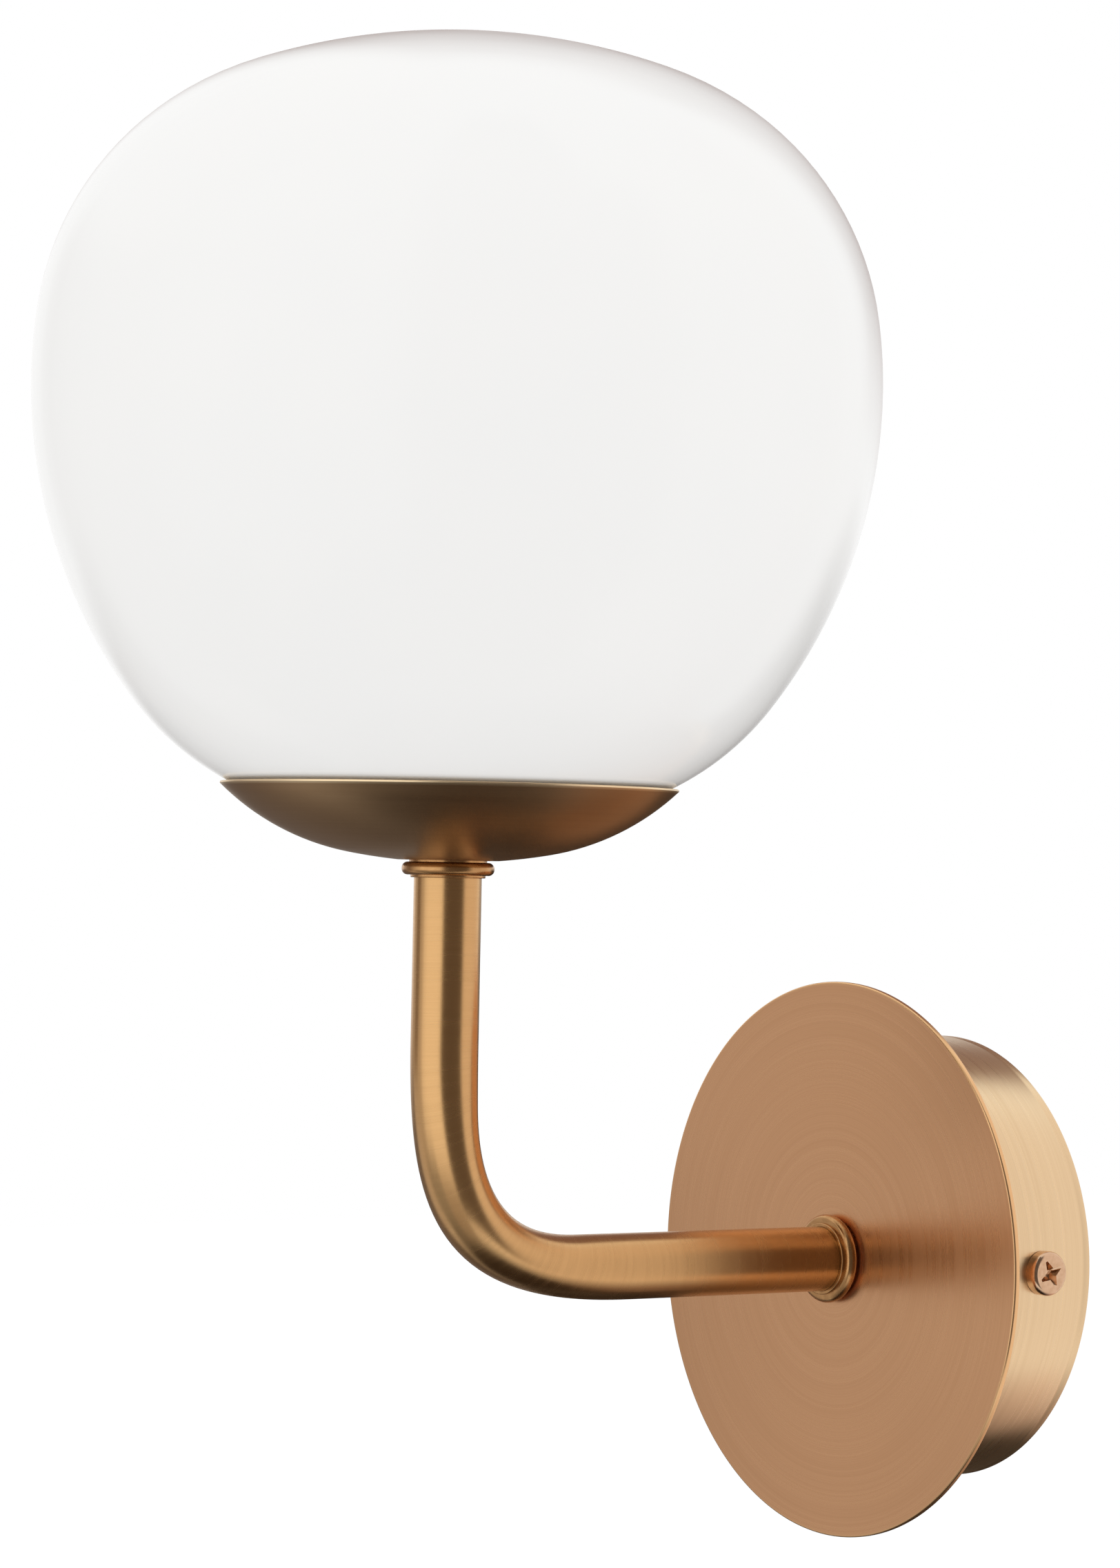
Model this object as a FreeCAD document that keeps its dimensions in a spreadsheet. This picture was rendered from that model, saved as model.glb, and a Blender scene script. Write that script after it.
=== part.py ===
"""Globe wall sconce: an opal glass globe in a metal cup, on a bent arm from a round canopy.

Sizes are in millimetres. The wall is the plane Y = 0, the sconce stands out along -Y and +Z is up.
The origin lies on the wall, on the axis of the arm's level run. The globe's axis is upright, the
arm's reach away from the wall.
"""
import FreeCAD, Part
import Sketcher
import math
import os
import re

Vector = FreeCAD.Vector
FULL_TURN = 360
NUT_SIDES = 6

# Every driving size, by the piece that it belongs to.
SIZES = {
    # Gaps and fits
    "thread_clearance": 0.05,
    "hole_clearance": 0.15,
    "moving_gap": 0.3,
    # Arm tube
    "arm_reach": 115.7,
    "arm_rise": 72.7,
    "tube_radius": 6.0,
    "tube_wall": 1.5,
    "bend_radius": 28.0,
    "tapping_depth": 12.0,
    # Hollow threaded nipples, nuts and washers
    "nipple_radius": 5.0,
    "nipple_bore": 3.75,
    "nipple_grip": 10.0,
    "nipple_tail": 1.8,
    "nut_width": 14.0,
    "nut_height": 3.0,
    "washer_radius": 9.0,
    "washer_height": 0.8,
    "bush_flange": 5.4,
    "bush_flange_height": 0.8,
    "bush_sleeve": 6.0,
    "bush_wall": 0.65,
    # Beaded collars at both ends of the arm
    "collar_neck_radius": 6.9,
    "collar_neck_height": 0.35,
    "collar_bead_radius": 8.2,
    "collar_bead_height": 2.3,
    "collar_bead_round": 1.05,
    "collar_lip_radius": 6.65,
    "collar_lip_height": 0.45,
    # Canopy: drum and face plate
    "canopy_radius": 41.5,
    "canopy_wall": 1.0,
    "canopy_depth": 25.7,
    "canopy_corner": 0.8,
    "plate_radius": 51.65,
    "plate_thickness": 1.2,
    "plate_edge_round": 0.35,
    # Wall bracket
    "bracket_thickness": 1.5,
    "bracket_width": 18.0,
    "ear_height": 17.0,
    "ear_gap": 0.3,
    "slot_spacing": 54.0,
    "slot_length": 10.0,
    "slot_radius": 2.25,
    "cable_hole_radius": 6.0,
    "tab_width": 27.0,
    "tab_drop": 27.0,
    # Machine screws
    "side_screw_height": 11.5,
    "side_screw_length": 7.0,
    "screw_radius": 1.95,
    "screw_head_radius": 4.05,
    "screw_head_height": 2.6,
    "screw_head_round": 1.0,
    "recess_width": 0.95,
    "recess_length": 4.6,
    "recess_depth": 1.5,
    "recess_turn": 28.0,
    "screw_hole_radius": 2.25,
    # Earth connection
    "earth_offset": 14.0,
    "earth_tag_radius": 4.1,
    "earth_tag_height": 0.8,
    "earth_barrel_radius": 1.6,
    "earth_barrel_length": 4.6,
    "wall_standoff": 0.3,
    # Terminal block
    "block_pitch": 8.0,
    "block_width": 25.0,
    "block_height": 17.0,
    "block_depth": 14.0,
    "block_top": 18.0,
    "clamp_height": 4.5,
    "clamp_radius": 2.5,
    "clamp_bore": 1.2,
    "clamp_length": 13.0,
    "clamp_screw_radius": 1.4,
    "clamp_screw_length": 4.5,
    "clamp_screw_spacing": 7.2,
    "screw_well_radius": 1.8,
    "block_screw_radius": 1.45,
    "block_screw_head": 2.6,
    "block_screw_head_height": 1.8,
    "block_screw_head_round": 0.7,
    "block_screw_seat": 7.0,
    # Cup
    "cup_wall": 0.8,
    "cup_rim_radius": 40.5,
    "cup_height": 13.3,
    "cup_rim_band": 0.45,
    "cup_lip_drop": 0.45,
    "cup_floor_curve": 100.0,
    "cup_side_curve": 43.6,
    "cup_seat_dent": 0.4,
    # Threaded boss in the cup
    "boss_hub_radius": 8.6,
    "boss_hub_height": 4.7,
    "boss_floor": 1.8,
    "boss_radius": 24.0,
    "boss_wall": 1.8,
    "boss_shoulder_radius": 26.0,
    "boss_shoulder_height": 1.5,
    "boss_height": 9.0,
    # Gallery ring and seal under the glass
    "gallery_height": 8.5,
    "gallery_flange_radius": 29.5,
    "gallery_flange_height": 1.0,
    "seal_thickness": 0.4,
    "seal_pad": 0.7,
    "seal_radius": 29.2,
    "seal_sleeve": 2.8,
    # Glass globe
    "glass_wall": 3.0,
    "glass_hole_radius": 27.0,
    "globe_radius": 75.0,
    "globe_widest_height": 74.5,
    "globe_crown_height": 61.7,
    "globe_crown_curve": 116.0,
    "globe_shoulder_curve": 52.7,
    "globe_belly_curve": 89.6,
    "globe_foot_margin": 8.67,
    "globe_rim_gap": 0.55,
    # Lampholder
    "holder_gap": 0.4,
    "holder_radius": 13.4,
    "holder_base_height": 18.0,
    "holder_base_floor": 9.0,
    "holder_thread_depth": 7.5,
    "holder_cavity_radius": 11.2,
    "holder_sleeve_height": 24.0,
    "holder_sleeve_floor": 2.0,
    "holder_terminal_height": 4.6,
    "holder_terminal_length": 7.4,
    "holder_terminal_width": 6.0,
    "holder_terminal_offset": 4.6,
    "rivet_radius": 0.9,
    "contact_rivet_offset": 3.4,
    "shell_bore": 7.0,
    "shell_wall": 0.4,
    "shell_height": 19.0,
    "contact_width": 5.0,
    "contact_foot": 4.6,
    "contact_nose": 2.3,
    "contact_thickness": 0.4,
    "contact_rise": 3.4,
    # Lamp
    "lamp_length": 78.0,
    "lamp_radius": 22.5,
    "lamp_glass_wall": 1.2,
    "lamp_mouth_radius": 17.5,
    "lamp_tip_radius": 2.3,
    "lamp_tip_height": 0.8,
    "lamp_insulator_height": 2.5,
    "lamp_cap_height": 16.0,
    "lamp_cap_wall": 0.3,
    "lamp_neck_radius": 8.6,
    "lamp_neck_height": 2.0,
    "lamp_housing_wall": 1.2,
    "lamp_housing_floor": 1.5,
    "led_board_height": 1.2,
    "led_board_inset": 2.2,
    # Wires
    "wire_radius": 1.1,
    "wire_offset": 1.75,
    "wire_turn_height": 8.0,
    "wire_drop_start": 12.5,
    "wire_end_in_clamp": 7.5,
    "wire_end_in_holder": 2.8,
    "wire_spread_run": 3.6,
    "wire_bend": 5.0,
    "earth_wire_bend": 4.0,
    "earth_wire_turn": 15.2,
    "earth_wire_lift": 3.2,
}

doc = FreeCAD.newDocument("globe_wall_sconce")
sheet = doc.addObject("Spreadsheet::Sheet", "Sizes")
for row, (alias, size) in enumerate(SIZES.items(), start=1):
    sheet.set(f"A{row}", alias.replace("_", " "))
    sheet.set(f"B{row}", str(size))
    sheet.setAlias(f"B{row}", alias)
doc.recompute()


def formula(text):
    """Point every size name in a formula at its cell in the sheet."""
    def cell(word):
        name = word.group()
        return "Sizes." + name if name in SIZES else name

    return re.sub(r"[a-z]\w*", cell, text)


def value(text):
    """The present number of a formula."""
    return float(sheet.evalExpression(formula(text)))


def bind(thing, **properties):
    """Bind properties of an object to formulas."""
    for name, text in properties.items():
        thing.setExpression(name, formula(text))


def place(thing, turn, x="0", y="0", z="0"):
    """Turn an object and bind its base point to formulas."""
    thing.Placement = FreeCAD.Placement(Vector(value(x), value(y), value(z)), turn)
    for axis, text in zip("xyz", (x, y, z)):
        thing.setExpression(f"Placement.Base.{axis}", formula(text))
    return thing


# The three ways that a piece's own axis points: up, out from the wall, and to the side.
UP = FreeCAD.Rotation()
OUT = FreeCAD.Rotation(Vector(1, 0, 0), 90)
SIDEWAYS = FreeCAD.Rotation(Vector(0, 1, 0), 90)


def up_at_globe(thing, height):
    """Stand a piece on the globe's axis, its base at a height over the arm's axis."""
    return place(thing, UP, y="-arm_reach", z=height)


def out_from_wall(thing, distance, x="0", up="0"):
    """Point a piece out from the wall, its base at a distance from the wall."""
    return place(thing, OUT, x=x, y=f"-({distance})", z=up)


def cylinder(name, radius, height):
    rod = doc.addObject("Part::Cylinder", name)
    bind(rod, Radius=radius, Height=height)
    return rod


def box(name, length, width, height):
    block = doc.addObject("Part::Box", name)
    bind(block, Length=length, Width=width, Height=height)
    return block


def fuse(name, *shapes):
    joined = doc.addObject("Part::MultiFuse", name)
    joined.Shapes = list(shapes)
    joined.Refine = True
    return joined


def cut(name, base, *tools):
    """Take one or more tools out of a base."""
    result = doc.addObject("Part::Cut", name)
    result.Base = base
    result.Tool = tools[0] if len(tools) == 1 else fuse(name + "_tools", *tools)
    return result


def group(name, *members):
    """Identical pieces that share a node, each a solid of its own."""
    together = doc.addObject("Part::Compound", name)
    together.Links = list(members)
    return together


def new_sketch(body, plane_role, name):
    plane = [plane for plane in body.Origin.OriginFeatures if plane.Role == plane_role][0]
    sketch = body.newObject("Sketcher::SketchObject", name)
    sketch.AttachmentSupport = (plane, "")
    sketch.MapMode = "FlatFace"
    return sketch


def hold_point(sketch, edge, end, x, y):
    """Hold a point of a sketch at two formulas, measured from the sketch's origin."""
    for kind, text, axis in (("DistanceX", x, -2), ("DistanceY", y, -1)):
        if text == "0":
            sketch.addConstraint(Sketcher.Constraint("PointOnObject", edge, end, axis))
            continue
        index = sketch.addConstraint(Sketcher.Constraint(kind, -1, 1, edge, end, value(text)))
        sketch.setExpression(f"Constraints[{index}]", formula(text))


def arc_between(start, end, radius, hollow):
    """An arc from one point to the next: swelling outwards, or hollow when it bends inwards."""
    chord = end - start
    left = Vector(-chord.y, chord.x, 0).normalize()
    side = -1 if hollow else 1
    centre = (start + end) * 0.5 + left * (side * math.sqrt(radius ** 2 - (chord.Length / 2) ** 2))
    first, last = (end, start) if hollow else (start, end)
    angles = [math.atan2(point.y - centre.y, point.x - centre.x) for point in (first, last)]
    if angles[1] < angles[0]:
        angles[1] += 2 * math.pi
    return Part.ArcOfCircle(Part.Circle(centre, Vector(0, 0, 1), radius), *angles)


def turned(name, outline, arcs={}, hollow=()):
    """A turned or pressed round piece.

    The outline runs anticlockwise through (radius, height) formulas. An entry of arcs gives the
    radius of the edge that leaves that point, and hollow lists the arcs that bend inwards.
    """
    body = doc.addObject("PartDesign::Body", name)
    sketch = new_sketch(body, "XZ_Plane", name + "_outline")
    points = [Vector(value(radius), value(height), 0) for radius, height in outline]
    ends = []
    for index, start in enumerate(points):
        end = points[(index + 1) % len(points)]
        if index not in arcs:
            sketch.addGeometry(Part.LineSegment(start, end))
            ends.append((1, 2))
            continue
        sketch.addGeometry(arc_between(start, end, value(arcs[index]), index in hollow))
        ends.append((2, 1) if index in hollow else (1, 2))
    for index in range(len(points)):
        following = (index + 1) % len(points)
        sketch.addConstraint(
            Sketcher.Constraint("Coincident", index, ends[index][1], following, ends[following][0]))
        hold_point(sketch, index, ends[index][0], *outline[index])
    for index, radius in arcs.items():
        constraint = sketch.addConstraint(Sketcher.Constraint("Radius", index, value(radius)))
        sketch.setExpression(f"Constraints[{constraint}]", formula(radius))
    revolution = body.newObject("PartDesign::Revolution", name + "_turning")
    revolution.Profile = sketch
    revolution.ReferenceAxis = (sketch, ["V_Axis"])
    revolution.Angle = FULL_TURN
    return body


def ring(name, bore, radius, height):
    """A plain turned ring."""
    return turned(name, [(bore, "0"), (radius, "0"), (radius, height), (bore, height)])


# Heights and distances that several pieces share.
plate_front = "(canopy_depth + plate_thickness)"
canopy_floor = "(canopy_depth - canopy_wall)"
wall_nut_base = f"({canopy_floor} - washer_height - nut_height)"
nipple_hole = "nipple_radius + hole_clearance"
threaded_on_nipple = "nipple_radius + thread_clearance"
cup_inside = "(arm_rise + cup_wall)"
boss_floor_base = f"({cup_inside} + boss_hub_height)"
boss_floor_top = f"({boss_floor_base} + boss_floor)"
cup_nut_base = f"({boss_floor_top} + washer_height)"
holder_bottom = f"({cup_nut_base} + nut_height + holder_gap)"
shoulder_top = f"({boss_floor_base} + boss_shoulder_height)"
gallery_bottom = f"({shoulder_top} + moving_gap)"
glass_seat = f"({gallery_bottom} + gallery_flange_height + seal_pad)"

pieces = []


def piece(thing):
    """Add a finished piece to the ones that are written out."""
    pieces.append(thing)
    return thing


# Arm: a bent tube, tapped at both ends for the hollow nipples.

def arm_tube():
    body = doc.addObject("PartDesign::Body", "arm_tube")
    path = new_sketch(body, "YZ_Plane", "arm_path")
    reach = value("arm_reach")
    bend = value("bend_radius")
    corner = Vector(bend - reach, bend, 0)
    path.addGeometry(Part.LineSegment(Vector(-reach, value("arm_rise"), 0), Vector(-reach, bend, 0)))
    path.addGeometry(Part.ArcOfCircle(
        Part.Circle(corner, Vector(0, 0, 1), bend), math.pi, 1.5 * math.pi))
    path.addGeometry(Part.LineSegment(Vector(bend - reach, 0, 0), Vector(-value(plate_front), 0, 0)))
    path.addConstraint(Sketcher.Constraint("Vertical", 0))
    path.addConstraint(Sketcher.Constraint("Tangent", 0, 2, 1, 1))
    path.addConstraint(Sketcher.Constraint("Tangent", 1, 2, 2, 1))
    path.addConstraint(Sketcher.Constraint("PointOnObject", 2, 1, -1))
    path.addConstraint(Sketcher.Constraint("PointOnObject", 2, 2, -1))
    driven = (
        (Sketcher.Constraint("Radius", 1, bend), "bend_radius"),
        (Sketcher.Constraint("DistanceX", 0, 1, -1, 1, reach), "arm_reach"),
        (Sketcher.Constraint("DistanceY", -1, 1, 0, 1, value("arm_rise")), "arm_rise"),
        (Sketcher.Constraint("DistanceX", 2, 2, -1, 1, value(plate_front)), plate_front),
    )
    for constraint, text in driven:
        index = path.addConstraint(constraint)
        path.setExpression(f"Constraints[{index}]", formula(text))

    def round_sketch(name, plane, offset, away, *radii):
        """Concentric circles in a plane at an offset, their centre a distance from the origin."""
        sketch = new_sketch(body, plane, name)
        sketch.setExpression("AttachmentOffset.Base.z", formula(offset))
        for index, radius in enumerate(radii):
            sketch.addGeometry(Part.Circle(Vector(0, -value(away), 0), Vector(0, 0, 1), value(radius)))
            sketch.addConstraint(Sketcher.Constraint("PointOnObject", index, 3, -2))
            if away == "0":
                sketch.addConstraint(Sketcher.Constraint("PointOnObject", index, 3, -1))
            else:
                held = sketch.addConstraint(
                    Sketcher.Constraint("DistanceY", index, 3, -1, 1, value(away)))
                sketch.setExpression(f"Constraints[{held}]", formula(away))
            sized = sketch.addConstraint(Sketcher.Constraint("Radius", index, value(radius)))
            sketch.setExpression(f"Constraints[{sized}]", formula(radius))
        return sketch

    section = round_sketch(
        "arm_section", "XY_Plane", "arm_rise", "arm_reach", "tube_radius", "tube_radius - tube_wall")
    pipe = body.newObject("PartDesign::AdditivePipe", "arm_pipe")
    pipe.Profile = section
    pipe.Spine = (path, ["Edge1", "Edge2", "Edge3"])
    doc.recompute()
    top = round_sketch("cup_end", "XY_Plane", "arm_rise", "arm_reach", threaded_on_nipple)
    wall = round_sketch("wall_end", "XZ_Plane", plate_front, "0", threaded_on_nipple)
    for name, sketch, reverse in (("cup_end_tapping", top, False), ("wall_end_tapping", wall, True)):
        pocket = body.newObject("PartDesign::Pocket", name)
        pocket.Profile = sketch
        pocket.setExpression("Length", formula("tapping_depth"))
        pocket.Reversed = reverse
        doc.recompute()
    return body


piece(arm_tube())

# Beaded collars: one slips over each end of the arm and hides the joint.

def beaded_collar(name):
    lip_base = "collar_neck_height + collar_bead_height"
    bore = "tube_radius + thread_clearance"
    round_radius = "collar_bead_radius - collar_bead_round"
    return turned(
        name,
        [
            (bore, "0"),
            ("collar_neck_radius", "0"),
            ("collar_neck_radius", "collar_neck_height"),
            (round_radius, "collar_neck_height"),
            ("collar_bead_radius", "collar_neck_height + collar_bead_round"),
            ("collar_bead_radius", f"{lip_base} - collar_bead_round"),
            (round_radius, lip_base),
            ("collar_lip_radius", lip_base),
            ("collar_lip_radius", f"{lip_base} + collar_lip_height"),
            (bore, f"{lip_base} + collar_lip_height"),
        ],
        arcs={3: "collar_bead_round", 5: "collar_bead_round"},
    )


piece(out_from_wall(beaded_collar("wall_collar"), plate_front))
upturned = FreeCAD.Rotation(Vector(1, 0, 0), 180)
piece(place(beaded_collar("cup_collar"), upturned, y="-arm_reach", z="arm_rise"))

# Hollow nipples, nuts and washers that draw the arm against the canopy and the cup.

def hex_nut(name):
    body = doc.addObject("PartDesign::Body", name)
    sketch = new_sketch(body, "XY_Plane", name + "_outline")
    corner_radius = "nut_width / sqrt(3)"
    corners = []
    for index in range(NUT_SIDES):
        spoke = FreeCAD.Rotation(Vector(0, 0, 1), FULL_TURN / NUT_SIDES * index)
        corners.append(spoke.multVec(Vector(value(corner_radius), 0, 0)))
    for index, corner in enumerate(corners):
        sketch.addGeometry(Part.LineSegment(corner, corners[(index + 1) % NUT_SIDES]))
    outer_circle = sketch.addGeometry(
        Part.Circle(Vector(0, 0, 0), Vector(0, 0, 1), value(corner_radius)), True)
    bore_circle = sketch.addGeometry(
        Part.Circle(Vector(0, 0, 0), Vector(0, 0, 1), value(threaded_on_nipple)))
    for index in range(NUT_SIDES):
        sketch.addConstraint(Sketcher.Constraint("Coincident", index, 2, (index + 1) % NUT_SIDES, 1))
        sketch.addConstraint(Sketcher.Constraint("PointOnObject", index, 1, outer_circle))
        if index:
            sketch.addConstraint(Sketcher.Constraint("Equal", 0, index))
    for circle in (outer_circle, bore_circle):
        sketch.addConstraint(Sketcher.Constraint("Coincident", circle, 3, -1, 1))
    sketch.addConstraint(Sketcher.Constraint("PointOnObject", 0, 1, -1))
    for circle, text in ((outer_circle, corner_radius), (bore_circle, threaded_on_nipple)):
        index = sketch.addConstraint(Sketcher.Constraint("Radius", circle, value(text)))
        sketch.setExpression(f"Constraints[{index}]", formula(text))
    pad = body.newObject("PartDesign::Pad", name + "_height")
    pad.Profile = sketch
    pad.setExpression("Length", formula("nut_height"))
    return body


wall_nipple_base = f"({wall_nut_base} - nipple_tail)"
wall_nipple_length = f"{plate_front} + nipple_grip - {wall_nipple_base}"
piece(out_from_wall(
    ring("wall_nipple", "nipple_bore", "nipple_radius", wall_nipple_length), wall_nipple_base))
piece(out_from_wall(
    ring("wall_washer", nipple_hole, "washer_radius", "washer_height"), f"{canopy_floor} - washer_height"))
piece(out_from_wall(hex_nut("wall_nut"), wall_nut_base))
bush = turned("nipple_bush", [
    ("nipple_bore - bush_wall", "0"),
    ("bush_flange", "0"),
    ("bush_flange", "bush_flange_height"),
    ("nipple_bore - thread_clearance", "bush_flange_height"),
    ("nipple_bore - thread_clearance", "bush_flange_height + bush_sleeve"),
    ("nipple_bore - bush_wall", "bush_flange_height + bush_sleeve"),
])
bush_base = f"({wall_nipple_base} - bush_flange_height)"
piece(out_from_wall(bush, bush_base))

cup_nipple_base = "(arm_rise - nipple_grip)"
cup_nipple_length = f"{holder_bottom} + holder_thread_depth - moving_gap - {cup_nipple_base}"
piece(up_at_globe(ring("cup_nipple", "nipple_bore", "nipple_radius", cup_nipple_length), cup_nipple_base))
piece(up_at_globe(ring("cup_washer", nipple_hole, "washer_radius", "washer_height"), boss_floor_top))
piece(up_at_globe(hex_nut("cup_nut"), cup_nut_base))

# Canopy: a pressed drum behind a flat face plate, both drilled for the nipple.

drum_shell = turned(
    "drum_pressing",
    [
        ("canopy_radius - canopy_wall", "0"),
        ("canopy_radius", "0"),
        ("canopy_radius", "canopy_depth - canopy_corner"),
        ("canopy_radius - canopy_corner", "canopy_depth"),
        (nipple_hole, "canopy_depth"),
        (nipple_hole, canopy_floor),
        ("canopy_radius - canopy_wall", canopy_floor),
    ],
    arcs={2: "canopy_corner"},
)
out_from_wall(drum_shell, "0")
side_holes = cylinder("side_holes", "screw_hole_radius", "2 * (canopy_radius + canopy_wall)")
place(side_holes, SIDEWAYS, x="-(canopy_radius + canopy_wall)", y="-side_screw_height")
piece(cut("canopy_drum", drum_shell, side_holes))

plate_edge = "plate_radius - plate_edge_round"
piece(out_from_wall(turned(
    "face_plate",
    [
        (nipple_hole, "0"),
        (plate_edge, "0"),
        ("plate_radius", "plate_edge_round"),
        ("plate_radius", "plate_thickness - plate_edge_round"),
        (plate_edge, "plate_thickness"),
        (nipple_hole, "plate_thickness"),
    ],
    arcs={1: "plate_edge_round", 3: "plate_edge_round"},
), "canopy_depth"))

# Wall bracket: a steel strap with slots for the wall screws, a cable hole, an ear at each end for
# the side screws and a tab that carries the terminal block.

ear_face = "(sqrt((canopy_radius - canopy_wall)^2 - (bracket_width / 2)^2) - ear_gap)"


def wall_box(name, length, width, height, x, up, out="0"):
    """A box on the wall: length along X, width up and height out."""
    return out_from_wall(box(name, length, width, height), out, x=x, up=up)


def wall_hole(name, radius, x="0", up="0"):
    """A drill through the bracket's strap."""
    return out_from_wall(cylinder(name, radius, "3 * bracket_thickness"), "-bracket_thickness", x=x, up=up)


strap = wall_box(
    "strap", f"2 * {ear_face}", "bracket_width", "bracket_thickness", f"-{ear_face}", "-bracket_width / 2")
tab = wall_box(
    "tab", "tab_width", "tab_drop", "bracket_thickness", "-tab_width / 2", "-(bracket_width / 2 + tab_drop)")
ears = [
    wall_box("ear_" + side, "bracket_thickness", "bracket_width", "ear_height", x, "-bracket_width / 2")
    for side, x in (("left", f"-{ear_face}"), ("right", f"{ear_face} - bracket_thickness"))
]
bracket_drills = [wall_hole("cable_hole", "cable_hole_radius")]
slot_end = "(slot_length / 2 - slot_radius)"
for side, sign in (("left", "-"), ("right", "")):
    centre = f"{sign}slot_spacing / 2"
    for end, shift in (("inner", f"-{slot_end}"), ("outer", f"+{slot_end}")):
        bracket_drills.append(wall_hole(f"slot_{side}_{end}", "slot_radius", x=f"{centre} {shift}"))
    bracket_drills.append(wall_box(
        f"slot_{side}_middle", f"2 * {slot_end}", "2 * slot_radius", "3 * bracket_thickness",
        f"{centre} - {slot_end}", "-slot_radius", "-bracket_thickness"))
ear_tapping = cylinder("ear_tapping", "screw_radius + thread_clearance", "2 * canopy_radius")
place(ear_tapping, SIDEWAYS, x="-canopy_radius", y="-side_screw_height")
bracket_drills.append(ear_tapping)
bracket_drills.append(wall_hole("earth_tapping", "screw_radius + thread_clearance", x="earth_offset"))
block_middle = "-(block_top + block_height / 2)"
bracket_drills.append(wall_hole(
    "block_tapping", "block_screw_radius + thread_clearance", x="-block_pitch / 2", up=block_middle))
piece(cut("wall_bracket", fuse("bracket_blank", strap, tab, *ears), *bracket_drills))

# Pan-head machine screws with a cross recess.

def pan_screw(name, shank_radius, shank_length, head_radius, head_height, head_round):
    """A screw along its own axis, the head's underside at zero and the shank below it."""
    blank = turned(
        name + "_blank",
        [
            ("0", "0"),
            (shank_radius, "0"),
            (shank_radius, shank_length),
            (head_radius, shank_length),
            (head_radius, f"{shank_length} + {head_height} - {head_round}"),
            (f"{head_radius} - {head_round}", f"{shank_length} + {head_height}"),
            ("0", f"{shank_length} + {head_height}"),
        ],
        arcs={4: head_round},
    )
    reach = f"recess_length * {head_radius} / screw_head_radius"
    width = f"recess_width * {head_radius} / screw_head_radius"
    wings = []
    for index, angle in enumerate((0, 90)):
        wing = box(f"{name}_wing_{index}", reach, width, "recess_depth")
        turn = FreeCAD.Rotation(Vector(0, 0, 1), value("recess_turn") + angle)
        corner = turn.multVec(Vector(-value(reach) / 2, -value(width) / 2, 0))
        corner.z = value(f"{shank_length} + {head_height} - recess_depth")
        wing.Placement = FreeCAD.Placement(corner, turn)
        wings.append(wing)
    return cut(name, blank, *wings)


side_screw = pan_screw(
    "side_screw_right", "screw_radius", "side_screw_length",
    "screw_head_radius", "screw_head_height", "screw_head_round")
place(side_screw, SIDEWAYS, x="canopy_radius - side_screw_length", y="-side_screw_height")
mirrored_screw = doc.addObject("Part::Mirroring", "side_screw_left")
mirrored_screw.Source = side_screw
mirrored_screw.Normal = Vector(1, 0, 0)
piece(group("side_screws", side_screw, mirrored_screw))

# Earth connection: a crimped ring tag under a screw in the bracket.

tag_front = "(bracket_thickness + earth_tag_height)"
earth_screw = pan_screw(
    "earth_screw", "screw_radius", f"{tag_front} - wall_standoff",
    "screw_head_radius", "screw_head_height", "screw_head_round")
piece(out_from_wall(earth_screw, "wall_standoff", x="earth_offset"))

barrel_axis = "(bracket_thickness + earth_barrel_radius)"
barrel_bottom = "(earth_tag_radius + moving_gap + earth_barrel_length)"
tag_disc = out_from_wall(
    cylinder("tag_disc", "earth_tag_radius", "earth_tag_height"), "bracket_thickness", x="earth_offset")
tag_barrel = cylinder("tag_barrel", "earth_barrel_radius", "earth_barrel_length")
place(tag_barrel, UP, x="earth_offset", y=f"-{barrel_axis}", z=f"-{barrel_bottom}")
tag_neck = wall_box(
    "tag_neck", "2 * earth_barrel_radius", "earth_barrel_length / 2 + earth_tag_radius / 2",
    "earth_tag_height", "earth_offset - earth_barrel_radius",
    f"-({barrel_bottom} - earth_barrel_length / 2)", "bracket_thickness")
barrel_bore = cylinder("barrel_bore", "wire_radius + thread_clearance", "earth_barrel_length")
place(barrel_bore, UP, x="earth_offset", y=f"-{barrel_axis}", z=f"-{barrel_bottom}")
tag_hole = wall_hole("tag_hole", "screw_radius + hole_clearance", x="earth_offset")
piece(cut("earth_tag", fuse("tag_blank", tag_disc, tag_barrel, tag_neck), barrel_bore, tag_hole))

# Terminal block: a moulded body with three brass clamps, each with two screws.

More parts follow.
